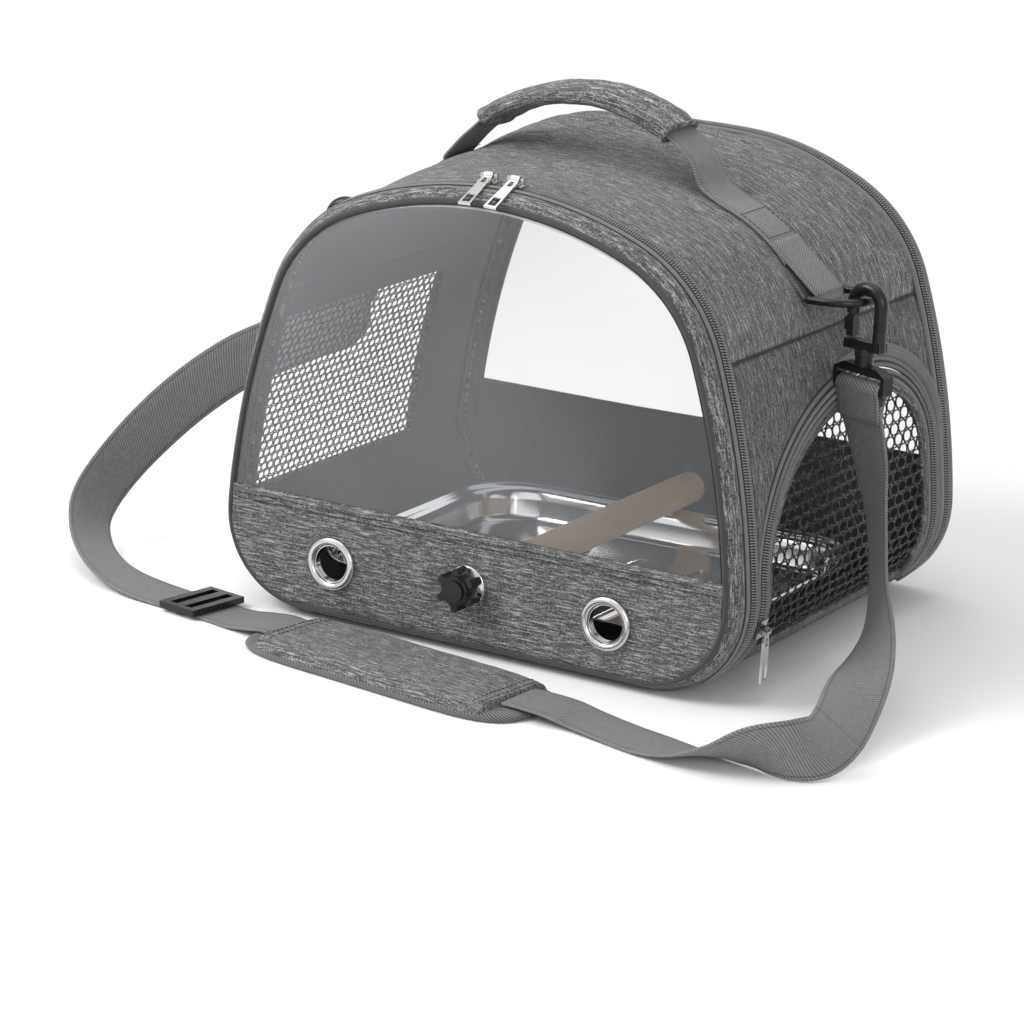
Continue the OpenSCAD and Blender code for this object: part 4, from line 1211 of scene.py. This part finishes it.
# ---------------------------------------------------------------------------
# Strip stitches: two rows of dark thread hold each clear sheet to its strip of
# cloth, on both doors.
# ---------------------------------------------------------------------------
def capsule(length, radius, sides=6):
    """A stitch: a short thread that dives at both ends, along X."""
    rings = [(-0.5, 0.25, -0.5), (-0.42, 0.8, -0.1), (-0.2, 1, 0.25), (0.2, 1, 0.25),
             (0.42, 0.8, -0.1), (0.5, 0.25, -0.5)]
    verts = []
    for x, r, lift in rings:
        for k in range(sides):
            a = 2 * pi * k / sides
            verts.append((x * length, cos(a) * radius * r, sin(a) * radius * r + lift * radius))
    data = bpy.data.meshes.new("stitch")
    data.from_pydata([tuple(c * MM for c in v) for v in verts], [], ring_faces(len(rings), sides))
    return data


def stitch(name, points, normals, body, pitch=3.6, length=2.7, radius=0.3, node_slot="heather"):
    o = repeat(name, walk(points, normals, pitch, pitch / 2), capsule(length, radius), THREAD)
    return dress(o, body, node_slot)


for row, z in enumerate((64.8, 61.6)):
    for name, y, sign, lift in (("front", FRONT_Y, -1, 0.0), ("rear", REAR_Y, 1, 10.0)):
        w = half_width(z + lift, PANE_IN)
        xs = spread(-w + 2, w - 2, 80)
        stitch(f"{name}_strip_stitch_{row}", [Vector((x, y - sign * 0.25, z + lift)) for x in xs],
               [Vector((0, sign, 0))] * len(xs), name + "_door", 3.4, 2.6, 0.28)


# ---------------------------------------------------------------------------
# Vents, perch and knob: plated steel eyelets set in the strip, a domed washer,
# a turned wooden perch on a bolt and a moulded star knob that holds it.
# ---------------------------------------------------------------------------
def plated(name, colour, rough=0.16, scratch=0.12):
    """Bright plated or polished metal with fine scratches."""
    f = Finish(name, Metallic=1.0)
    x, y, z = f.place()
    cloud = f.noise(x * 160, y * 160, z * 160, 3, 0.6)
    lines = f.noise(x * 3800, y * 300, z * 900, 2, 0.5)
    f.set(Base_Color=f.mix(cloud, tuple(c * 0.9 for c in colour), colour),
          Roughness=rough + cloud * 0.10 + lines * scratch)
    f.bump(lines, 0.06, 0.0002)
    return f.material


BLACK = moulded("black_plastic", (0.006, 0.006, 0.007), 0.16)
NICKEL = plated("nickel_plate", (0.60, 0.59, 0.575), 0.12, 0.06)


def perch_wood():
    f = Finish("perch_wood", Roughness=0.62)
    x, y, z = f.place()
    ring = f.noise(x * 60, y * 6, z * 60, 4, 0.6, 0.4)
    grain = f.noise(x * 900, y * 28, z * 900, 3, 0.6)
    pores = f.noise(x * 1400, y * 90, z * 1400, 2, 0.5).step(0.6, 0.75)
    colour = f.mix(ring * 0.7 + grain * 0.4 - 0.1, (0.62, 0.40, 0.25), (0.93, 0.70, 0.50))
    f.set(Base_Color=f.mix(pores * 0.25, colour, (0.34, 0.21, 0.13)))
    f.bump(grain, 0.2, 0.0003)
    return f.material


paint(perch_wood(), "perch")
paint(NICKEL, "grommet_left", "grommet_right", "perch_bolt")


def domed_washer(name, y, sign):
    """A pressed washer, domed away from the strip."""
    profile = [(2.75, 0.0), (10.6, 0.0), (11.2, 0.25), (11.3, 0.7), (10.7, 1.15), (8.8, 1.7),
               (6.2, 2.05), (2.75, 2.2)]
    verts, faces, n = [], [], 56
    for r, h in profile:
        verts += [Vector((r * cos(2 * pi * k / n), y + sign * h, PERCH_Z + r * sin(2 * pi * k / n)))
                  for k in range(n)]
    for i in range(len(profile)):
        for k in range(n):
            a, b = i * n + k, i * n + (k + 1) % n
            c, d = ((i + 1) % len(profile)) * n + (k + 1) % n, ((i + 1) % len(profile)) * n + k
            faces.append((a, b, c, d))
    return make(name, verts, faces, NICKEL)


dress(domed_washer("perch_washer_front", FRONT_Y + 0.7, -1), "front_door", "nickel", "perch_washer")
dress(domed_washer("perch_washer_back", FRONT_Y + 2.9, 1), "front_door", "nickel")
paint(BLACK, "perch_knob")


# ---------------------------------------------------------------------------
# Tray: one sheet of stainless steel pressed into a shallow pan with big round
# corners, a rolled rim and shallow ribs across its floor. It lifts out.
# ---------------------------------------------------------------------------
def tray_steel():
    f = Finish("tray_steel", Metallic=1.0)
    x, y, z = f.place()
    cloud = f.noise(x * 20, y * 20, z * 20, 3, 0.6)
    lines = f.noise(x * 2500, y * 60, z * 600, 2, 0.5)
    f.set(Base_Color=f.mix(cloud, (0.70, 0.71, 0.72), (0.86, 0.87, 0.88)),
          Roughness=0.06 + lines * 0.10 + cloud * 0.05)
    f.bump(lines, 0.05, 0.0002)
    return f.material


TRAY_Z, TRAY_W, TRAY_D, TRAY_R = 5.6, 252.0, 216.0, 42.0


def tray_ring(inset, z, n=12):
    """A rectangle with round corners at the height z, drawn in by inset."""
    points = []
    for q in range(4):
        sx, sy = (1, -1, -1, 1)[q], (1, 1, -1, -1)[q]
        for i in range(n + 1):
            a = radians(90 * q + 90 * i / n)
            r = max(TRAY_R - inset, 2.0)
            points.append(Vector((sx * (TRAY_W / 2 - TRAY_R) + r * cos(a),
                                  sy * (TRAY_D / 2 - TRAY_R) + r * sin(a) + 1, TRAY_Z + z)))
    return points


def pressed_tray():
    inside = [(40.0, 0.9), (16.0, 0.9), (13.0, 1.3), (11.2, 2.8), (10.4, 5.0), (8.6, 13.0),
              (7.6, 17.2), (6.6, 18.6), (4.4, 19.4)]
    rim = [(2.6, 20.0), (1.8, 21.2), (0.9, 21.8), (0.1, 21.2), (0.0, 20.2), (0.5, 19.3),
           (1.6, 19.2), (2.2, 19.0)]
    outside = [(5.0, 18.4), (7.4, 16.6), (8.2, 13.0), (9.9, 4.6), (10.8, 2.0), (12.8, 0.4),
               (16.0, 0.0), (40.0, 0.0)]
    profile = inside + rim + outside
    rings = [tray_ring(inset, z) for inset, z in profile]
    return make("tray_pan", sum(rings, []), ring_faces(len(rings), len(rings[0])), STEEL)


def tray_rib(x, length):
    """A shallow round rib pressed up from the floor."""
    verts, faces, sides, n = [], [], 9, 24
    for i in range(n + 1):
        f = i / n
        y = -length / 2 + length * f + 1
        full = min(1.0, sqrt(max(0.0, 1 - (2 * f - 1) ** 8)))
        for k in range(sides):
            a = pi * k / (sides - 1)
            verts.append(Vector((x + 4.2 * full * cos(a), y, TRAY_Z + 0.85 + 1.7 * full * sin(a))))
    for i in range(n):
        for k in range(sides - 1):
            a = i * sides + k
            faces.append((a, a + 1, a + 1 + sides, a + sides))
        faces.append((i * sides + sides - 1, i * sides, (i + 1) * sides,
                      (i + 1) * sides + sides - 1))
    faces.append(tuple(range(sides))[::-1])
    faces.append(tuple(n * sides + k for k in range(sides)))
    return make(f"tray_rib_{x:.0f}".replace("-", "m"), verts, faces, STEEL)


STEEL = tray_steel()
dress(pressed_tray(), "tray", "steel", "tray")
for x in (-72, -36, 0, 36, 72):
    dress(tray_rib(x, 140), "tray", "steel")


# ---------------------------------------------------------------------------
# Handle: one length of webbing, sewn down over the roof from ring to ring. It
# rises in a bow over the middle, where the hand goes.
# ---------------------------------------------------------------------------
def web_cloth(name, base, rib):
    """Twill webbing: slanting ribs, with painted shade in a groove beside each firm edge."""
    f = Finish(name, Roughness=0.7, Sheen_Weight=0.15, Sheen_Roughness=0.4)
    u, v = f.uv()
    turn = 2 * pi / (rib * MM)
    ribs = ((u + v * 0.55) * turn).sin() * 0.5 + 0.5
    ends = (v * (2 * pi / 0.0012)).sin() * 0.5 + 0.5
    edge = (v - WEB_W / 2 * MM).abs()
    # A thin dark line just inside each edge is painted shade of a groove.
    groove_shade = edge.step(0.0131, 0.0136) - edge.step(0.0139, 0.0144)
    height = ribs * 0.7 + ends * 0.3
    mottle = f.noise(u * 260, v * 260, 2.0, 3, 0.6)
    speck = f.noise(u * 1500, v * 1500, 6.0, 1, 0.5)
    amount = ribs * 0.55 + ends * 0.10 + mottle * 0.45 + speck * 0.3 - 0.24 - groove_shade * 0.4
    f.set(Base_Color=f.mix(amount.top(0.0), grey(base * 0.3),
                           (base * 1.5, base * 1.51, base * 1.56)))
    f.bump(height, 0.6, 0.0005)
    return f.material


WEB_W, WEB_T = 32.0, 1.8
WEB = web_cloth("grey_webbing", 0.19, 1.7)
LIFT = WEB_T / 2 + 0.15
GRIP_TOP_Z, GRIP_LEN, BOW_X, BOW_DROP = 287.0, 124.0, -10.0, 20.0
BOW_R = ((GRIP_LEN / 2) ** 2 + BOW_DROP ** 2) / (2 * BOW_DROP)
BOW_C = (BOW_X, GRIP_TOP_Z - BOW_R)
BOW_A = asin(GRIP_LEN / 2 / BOW_R)
CLIMB_RIGHT = [(72, 243.4), (66, 247.5), (63, 253), (59.5, 260)]
CLIMB_LEFT = [(-78.5, 261), (-84.5, 255.5), (-90, 249.5), (-95.5, 243)]


def on_arc(i, degrees_from, degrees_to, n):
    cx, cz, r, _, _ = ARCS[i]
    return [(cx + (r + LIFT) * cos(radians(a)), cz + (r + LIFT) * sin(radians(a)))
            for a in spread(degrees_from, degrees_to, n)]


def handle_route():
    bow = [(BOW_C[0] + BOW_R * sin(-a), BOW_C[1] + BOW_R * cos(a))
           for a in spread(-BOW_A, BOW_A, 16)]
    left = [stuffed((-x, 0, z)).xz for x, z in reversed(on_arc(2, 41, 61.5, 8))]
    return on_arc(2, 41, 64.2, 8) + on_arc(3, 67.2, 69.5, 2) + CLIMB_RIGHT + bow + CLIMB_LEFT + left


def spline(points, n):
    """A smooth line through points, n steps between each two."""
    out = []
    for i in range(len(points) - 1):
        p0, p1 = points[max(i - 1, 0)], points[i]
        p2, p3 = points[i + 1], points[min(i + 2, len(points) - 1)]
        for k in range(n):
            t = k / n
            bend = (2 * p0 - 5 * p1 + 4 * p2 - p3) + t * (3 * (p1 - p2) + p3 - p0)
            out.append(p1 + 0.5 * t * ((p2 - p0) + t * bend))
    out.append(points[-1].copy())
    return out


WEB_TOP = [(-1, 0.0), (-0.985, 0.32), (-0.94, 0.5), (-0.5, 0.5), (0, 0.5), (0.5, 0.5),
           (0.94, 0.5), (0.985, 0.32)]
WEB_PROFILE = WEB_TOP + [(-a, -b) for a, b in WEB_TOP]


def ribbon(name, path, width_ways, material, half=WEB_W / 2, thick=WEB_T, line=None, gone=0.0,
           fit=stuffed):
    """Webbing along path with its width lying along width_ways."""
    verts, cloth = [], []
    for i, (p, along) in enumerate(line or frames_along(path)):
        if i:
            gone += (p - path[i - 1]).length
        flat = along.cross(width_ways[i]).normalized()
        across = flat.cross(along).normalized()
        for a, b in WEB_PROFILE:
            verts.append(p + across * a * half + flat * b * thick)
            cloth.append((gone, (a + 1) * half))
    return make(name, verts, ring_faces(len(path), len(WEB_PROFILE)), material, cloth, fit)


route = [Vector((x, 0, z)) for x, z in handle_route()]
path = spline(route, 3)
o = ribbon("handle_webbing_band", path, [Vector((0, 1, 0))] * len(path), WEB, fit=Vector)
dress(o, "shell", "webbing", "handle_webbing")


# ---------------------------------------------------------------------------
# Grip: a padded sleeve of melange cloth, folded round the bow of the webbing
# and closed along the front. Its ends are gathered.
# ---------------------------------------------------------------------------
SLEEVE_LONG, SLEEVE_HALF = 128, 7
GRIP_TRIM = 10 / BOW_R      # the sleeve stops short of the bow's right end


def grip_cloth():
    """A padded sleeve folded round the webbing; its seam lies along the front."""
    n, sides = 64, 40
    verts, cloth, faces = [], [], []
    for shell_part in (0, 1):
        for i in range(n + 1):
            f = i / n
            a = BOW_A - GRIP_TRIM - (2 * BOW_A - GRIP_TRIM) * f
            r_hat = Vector((sin(a), 0, cos(a)))
            centre = Vector((BOW_C[0], 0, BOW_C[1])) + r_hat * BOW_R
            end = min(f, 1 - f)
            flare = 1 + 0.03 * exp(-end * 60) - 0.05 * exp(-((end - 0.03) / 0.02) ** 2)
            for k in range(sides):
                b = 2 * pi * k / sides
                w = (18.6 * flare) * (abs(cos(b)) ** 0.55) * (1 if cos(b) >= 0 else -1)
                h = (6.6 * flare) * (abs(sin(b)) ** 0.75) * (1 if sin(b) >= 0 else -1)
                if sin(b) < 0:
                    h *= 0.8
                wrinkle = 0.35 * rough_noise(f * 16, b * 1.4, 6.6)
                if shell_part:
                    w, h = w * 0.9, h * 0.55
                verts.append(centre + Vector((0, w + wrinkle, 0)) + r_hat * (h + wrinkle))
                cloth.append((f * SLEEVE_LONG, SLEEVE_HALF * b))
    far = (n + 1) * sides
    for i in range(n):
        for k in range(sides):
            a, b = i * sides + k, i * sides + (k + 1) % sides
            faces.append((a, b, b + sides, a + sides))
            faces.append((a + sides + far, b + sides + far, b + far, a + far))
    for k in range(sides):
        a, b = k, (k + 1) % sides
        faces.append((b, a, a + far, b + far))
        a, b = a + n * sides, b + n * sides
        faces.append((a, b, b + far, a + far))
    return make("handle_grip_sleeve", verts, faces, CLOTH, cloth)


dress(grip_cloth(), "shell", "heather", "handle_grip")


# ---------------------------------------------------------------------------
# Webbing loops: the ends of the webbing, turned round the bars of the rings and
# sewn down on themselves with a box of dark stitches.
# ---------------------------------------------------------------------------
BAR_C = (136.0, 197.0)


def webbing_loop(side):
    """The webbing's end turned round the ring's bar and sewn down on itself."""
    s = 1 if side == "right" else -1
    r = 2.5 + WEB_T / 2

    def on_shoulder(angle, lift):
        out = R_SHOULDER + LIFT + lift
        return ARCS[2][0] + out * cos(radians(angle)), ARCS[2][1] + out * sin(radians(angle))

    around = [(BAR_C[0] + r * cos(radians(a)), BAR_C[1] + r * sin(radians(a)))
              for a in spread(52, -140, 12)]
    under_x, under_z = on_shoulder(40.0, 0.0)
    turns = [on_shoulder(50.0, 0.9), on_shoulder(41.5, 1.5), *around,
             (under_x - 1.4, under_z - 1.6)]
    line = [Vector((s * x, 0, z)) for x, z in turns]
    path = spline(line, 3)
    o = ribbon("webbing_loop_band_" + side, path, [Vector((0, 1, 0))] * len(path), WEB,
               WEB_W / 2 - 0.1, WEB_T)
    dress(o, "shell", "webbing", "webbing_loop_" + side)


webbing_loop("right")
webbing_loop("left")


def box_stitch(name, t0, t1):
    """Stitching round the sewn-down stretch of webbing: two edges and two ends."""
    for k, y in enumerate((-WEB_HALF + 2.2, WEB_HALF - 2.2)):
        ts = spread(t0, t1, 30)
        points = [shell(t, y, LIFT + WEB_T / 2 + 0.05) for t in ts]
        stitch(f"{name}_edge_{k}", points, [outward(t) for t in ts], "shell", 3.2, 2.4, 0.26,
               "webbing")
    for k, t in enumerate((t0, t1)):
        points = [shell(t, y, LIFT + WEB_T / 2 + 0.05)
                  for y in spread(-WEB_HALF + 1.5, WEB_HALF - 1.5, 8)]
        stitch(f"{name}_end_{k}", points, [outward(t)] * len(points), "shell", 3.0, 2.3, 0.26,
               "webbing")


arc_t = FLOOR_HALF + R_CORNER * (A_CORNER + pi / 2) + R_WALL * (A_WALL - A_CORNER)
t_low = arc_t + R_SHOULDER * (radians(52) - A_WALL)
t_high = arc_t + R_SHOULDER * (A_SHOULDER - A_WALL) - 3
box_stitch("handle_box_right", t_low, t_high)
box_stitch("handle_box_left", LOOP - t_low, LOOP - t_high)


# ---------------------------------------------------------------------------
# Rings and swivel hooks: moulded black acetal. Each ring hangs in its webbing
# loop, and each hook turns on the frame that holds the end of the strap.
# ---------------------------------------------------------------------------
paint(BLACK, "d_ring_left", "d_ring_right", "hook_base_left", "hook_base_right",
      "snap_hook_left", "snap_hook_right", "hook_gate_left", "hook_gate_right", "strap_slide")


# ---------------------------------------------------------------------------
# Sliders and pulls: zinc castings with bright nickel plate, two on the front
# zip and one on each of the other two.
# ---------------------------------------------------------------------------
paint(NICKEL, "slider_front_left", "slider_front_right", "slider_side", "slider_rear",
      "pull_front_left", "pull_front_right", "pull_side", "pull_rear")


# ---------------------------------------------------------------------------
# Shoulder pad: thin foam in melange cloth, bound with twill tape. A sleeve sewn
# on its top takes the strap, with two rows of stitches across each end.
# ---------------------------------------------------------------------------
def twill_tape(name, base, pitch):
    """Edge binding woven on the slant."""
    f = Finish(name, Roughness=0.75, Sheen_Weight=0.12)
    u, v = f.uv()
    slant = ((u + v * 0.8) * (2 * pi / (pitch * MM))).sin() * 0.5 + 0.5
    speck = f.noise(u * 900, v * 900, 3.0, 2, 0.5)
    f.set(Base_Color=f.mix(slant.step(0.25, 0.75) * 0.8 + speck * 0.3 - 0.05, grey(base * 0.3),
                           grey(base * 1.6)))
    f.bump(slant, 0.8, 0.0008)
    return f.material


TWILL = twill_tape("binding_twill", 0.14, 2.1)
PAD_AT, PAD_TURN = Vector((-10, -182, 0)), radians(-8)
PAD_LEN, PAD_W = 186.0, 66.0


def pad_place(x, y, z):
    return PAD_AT + Vector((x * cos(PAD_TURN) - y * sin(PAD_TURN),
                            x * sin(PAD_TURN) + y * cos(PAD_TURN), z))


def pad_half(u):
    return PAD_W / 2 * max(0.0, 1 - abs(u) ** 6) ** 0.35 * (1 - 0.03 * (1 - u * u))


SLEEVE_U = 0.84


def pad_height(u, v):
    """Height of the pad's top: a low foam base with the strap's sleeve over it."""
    crown = max(0.0, 1 - abs(v) ** 6) ** 0.5
    near = SLEEVE_U - abs(u)
    sleeve = smooth_step(near, 0, 0.012) * (0.86 + 0.14 * smooth_step(near, 0, 0.3))
    end = smooth_step(1.0 - abs(u), 0, 0.08)
    wave = 0.5 * rough_noise(u * 7, v * 2, 4.0) * crown
    return 2.6 + (2.0 * end + 5.4 * sleeve) * crown + wave


def pad_body():
    """The foam pad with its sleeve, drawn in at the bound edge and flat below."""
    half = sorted(set(spread(0, SLEEVE_U - 0.02, 30) + spread(SLEEVE_U - 0.02, SLEEVE_U + 0.02, 8) +
                      spread(SLEEVE_U + 0.02, 0.999, 14)))
    us = [-u for u in reversed(half[1:])] + half
    vs = [sin(a) for a in spread(-pi / 2, pi / 2, 30)]
    o = skin("shoulder_pad_cloth", us, vs,
             lambda u, v: pad_place(PAD_LEN / 2 * u, pad_half(u) * v, pad_height(u, v)),
             lambda u, v: pad_place(PAD_LEN / 2 * u, pad_half(u) * v * 0.985, 0.15), CLOTH)
    nu, nv = len(us), len(vs)
    places = [v.co.copy() for v in o.data.vertices]
    lengths = {}
    for far in (0, nu * nv):
        for j in range(nv):
            gone = 0.0
            for i in range(nu):
                k = far + i * nv + j
                gone += (places[k] - places[k - nv]).length if i else 0.0
                lengths[k] = [gone, 0.0]
        for i in range(nu):
            gone = 0.0
            for j in range(nv):
                k = far + i * nv + j
                gone += (places[k] - places[k - 1]).length if j else 0.0
                lengths[k][1] = gone
            for j in range(nv):
                lengths[far + i * nv + j][1] -= gone / 2
    layer = o.data.uv_layers["cloth"]
    for loop in o.data.loops:
        layer.data[loop.index].uv = lengths[loop.vertex_index]
    return o


def pad_rim(n=70):
    """Points round the pad's edge, with the direction towards its middle."""
    ring = [(PAD_LEN / 2 * sin(a) * 0.999, pad_half(sin(a) * 0.999) * s)
            for s, angles in ((1, spread(-pi / 2, pi / 2, n)), (-1, spread(pi / 2, -pi / 2, n)))
            for a in angles[:-1]]
    out = []
    for i, (x, y) in enumerate(ring):
        (x0, y0), (x1, y1) = ring[i - 1], ring[(i + 1) % len(ring)]
        long = hypot(x1 - x0, y1 - y0) or 1.0
        out.append((x, y, (y1 - y0) / long, -(x1 - x0) / long))
    return out


def pad_binding():
    """Twill tape folded over the pad's edge, wide on top and narrow below."""
    section = [(8.2, 3.4), (7.6, 4.4), (4.5, 4.7), (1.5, 4.3), (-0.9, 3.2), (-1.6, 2.2),
               (-0.9, 0.7), (1.2, 0.1), (5.0, 0.1), (5.0, 1.2)]
    rim, gone = pad_rim(), 0.0
    verts, cloth = [], []
    for i, (x, y, ix, iy) in enumerate(rim + rim[:1]):
        if i:
            px, py = rim[i - 1][:2]
            gone += hypot(x - px, y - py)
        for k, (inward, z) in enumerate(section):
            verts.append(pad_place(x + ix * inward, y + iy * inward, z))
            cloth.append((gone, k * 2.4))
    faces = ring_faces(len(rim) + 1, len(section), ends=False)
    o = make("shoulder_pad_binding", verts, faces, TWILL, cloth)
    weld(o)
    return o


pad = pad_body()
dress(pad, "shell", "heather", "shoulder_pad")
dress(pad_binding(), "shell", "heather")
for end in (-1, 1):
    for row, u in enumerate((SLEEVE_U - 0.035, SLEEVE_U - 0.085)):
        line = [pad_place(PAD_LEN / 2 * u * end, pad_half(u) * v, pad_height(u * end, v) + 0.1)
                for v in spread(-0.82, 0.82, 24)]
        stitch(f"pad_hem_{'left' if end < 0 else 'right'}_{row}", line,
               [Vector((0, 0, 1))] * len(line), "shell",
               3.4, 2.5, 0.28)


# ---------------------------------------------------------------------------
# Shoulder strap: one length of webbing from hook to hook, lying on the ground
# in front. It passes a slide with three bars and the sleeve of the pad.
# ---------------------------------------------------------------------------
STRAP_RIGHT = [
    ((165, -6, 144.6), (0.94, -0.34, 0)), ((165.2, -6, 139), (0.94, -0.35, 0)),
    ((169.5, -6, 125), (0.9, -0.42, -0.1)),
    ((175, -8, 109), (0.84, -0.54, -0.05)), ((182, -14, 89), (0.7, -0.7, 0.1)),
    ((190, -25, 68), (0.62, -0.76, 0.2)), ((199, -42, 50), (0.6, -0.78, 0.2)),
    ((208, -63, 37), (0.66, -0.74, 0.1)), ((217, -91, 27), (0.76, -0.64, -0.05)),
    ((228, -130, 19.5), (0.82, -0.45, -0.35)), ((236, -160, 16.4), (0.8, -0.1, -0.6))]
STRAP_FRONT = [
    ((239, -186, 15.5), (0.5, -0.1, -0.86)),
    ((232, -202, 16.5), (0.15, 0.1, -0.95)), ((216, -209, 15), (0, 0.45, -0.87)),
    ((197, -210, 8.8), (0, 0.85, -0.5)), ((176, -207, 3.6), (0.05, 0.98, -0.18)),
    ((153, -202, 1.6), (0.08, 0.99, 0)), ((130, -196, 1.6), (0.1, 0.99, 0)),
    ((110, -192, 3), (0.12, 0.99, 0)), ((92, -192, 6.2), (0.13, 0.99, 0)),
    ((68.5, -190.6, 6.6), (0.14, 0.99, 0))]
STRAP_LEFT = [
    ((-165, -6, 144.2), (-0.94, -0.34, 0)), ((-165, -6, 139.5), (-0.94, -0.34, 0.02)),
    ((-169, -6.6, 134.8), (-0.86, -0.3, 0.38)), ((-176, -7.9, 131), (-0.7, -0.25, 0.64)),
    ((-186, -9.6, 126.6), (-0.58, -0.2, 0.77)), ((-203, -13, 118), (-0.4, -0.1, 0.9)),
    ((-228, -20, 104), (-0.35, -0.1, 0.93)), ((-253, -31, 83), (-0.38, -0.2, 0.9)),
    ((-272, -46, 60), (-0.42, -0.35, 0.82)), ((-281, -68, 39), (-0.4, -0.55, 0.7)),
    ((-277, -93, 25), (-0.3, -0.75, 0.55)), ((-263, -113, 15.5), (-0.22, -0.88, 0.4)),
    ((-243, -130, 9), (-0.2, -0.94, 0.25)), ((-222, -141, 4.8), (-0.18, -0.97, 0.1)),
    ((-200, -147, 2.2), (-0.15, -0.98, 0)), ((-178, -150, 1.3), (-0.1, -0.99, 0)),
    ((-157, -153, 1.2), (0, -1, 0)), ((-131, -157.5, 1.2), (0.08, -0.99, 0)),
    ((-114, -162, 3.8), (0.12, -0.99, 0)), ((-100, -165, 6), (0.14, -0.99, 0)),
    ((-88.5, -168.6, 6.6), (0.14, -0.99, 0))]


def straps(route, *pieces):
    """One run of webbing, cut into pieces (name, node, points of the route)."""
    path = spline([Vector(p) for p, _ in route], 8)
    ways = spline([Vector(w) for _, w in route], 8)
    whole, made = frames_along(path), []
    gone, first = 0.0, 0
    for name, node, count in pieces:
        last = first + 8 * count
        part, way = whole[first:last + 1], ways[first:last + 1]
        o = ribbon(name, [p for p, _ in part], way, WEB, line=part, gone=gone)
        dress(o, "shell", "webbing", node)
        points = [p for p, _ in part]
        length = sum((b - a).length for a, b in zip(points, points[1:]))
        tuple(points[0] * MM)
        [tuple(p * MM) for p in points[::2]]
        gone, first = gone + length, last
        made.append(o)
    return made


straps(STRAP_LEFT, ("strap_left_webbing", "strap_left", len(STRAP_LEFT) - 1))
strap_right = straps(STRAP_RIGHT + STRAP_FRONT,
                     ("strap_right_webbing", "strap_right", len(STRAP_RIGHT) - 1),
                     ("strap_front_webbing", "strap_front", len(STRAP_FRONT)))[0]
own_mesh(strap_right)


# ---------------------------------------------------------------------------
# Strap ends: the strap turned through the frame of each hook and sewn down on
# itself, at both ends.
# ---------------------------------------------------------------------------
def strap_end(side):
    """The strap's end turned through the hook's frame and sewn down."""
    s = 1 if side == "right" else -1
    across = Vector((cos(radians(-20)), sin(radians(-20)), 0))
    face = Vector((-across.y, across.x, 0))
    centre = Vector((165, -6, 150 + 1.7))
    line = [centre + Vector((0, 0, -17)) - face * 1.6, centre + Vector((0, 0, -8)) - face * 2.6]
    line += [centre + Vector((0, 0, 4.3 * sin(a))) - face * 4.3 * cos(a)
             for a in spread(-0.5, pi + 0.5, 10)]
    line += [centre + Vector((0, 0, -8)) + face * 1.4, centre + Vector((0, 0, -15)) + face * 0.2]
    path = [Vector((p.x * s, p.y, p.z)) for p in spline(line, 3)]
    way = Vector((across.x * s, across.y, 0))
    o = ribbon("strap_end_band_" + side, path, [way] * len(path), WEB, WEB_W / 2 - 0.2, 1.6)
    dress(o, "shell", "webbing", "strap_end_" + side)


strap_end("right")
strap_end("left")
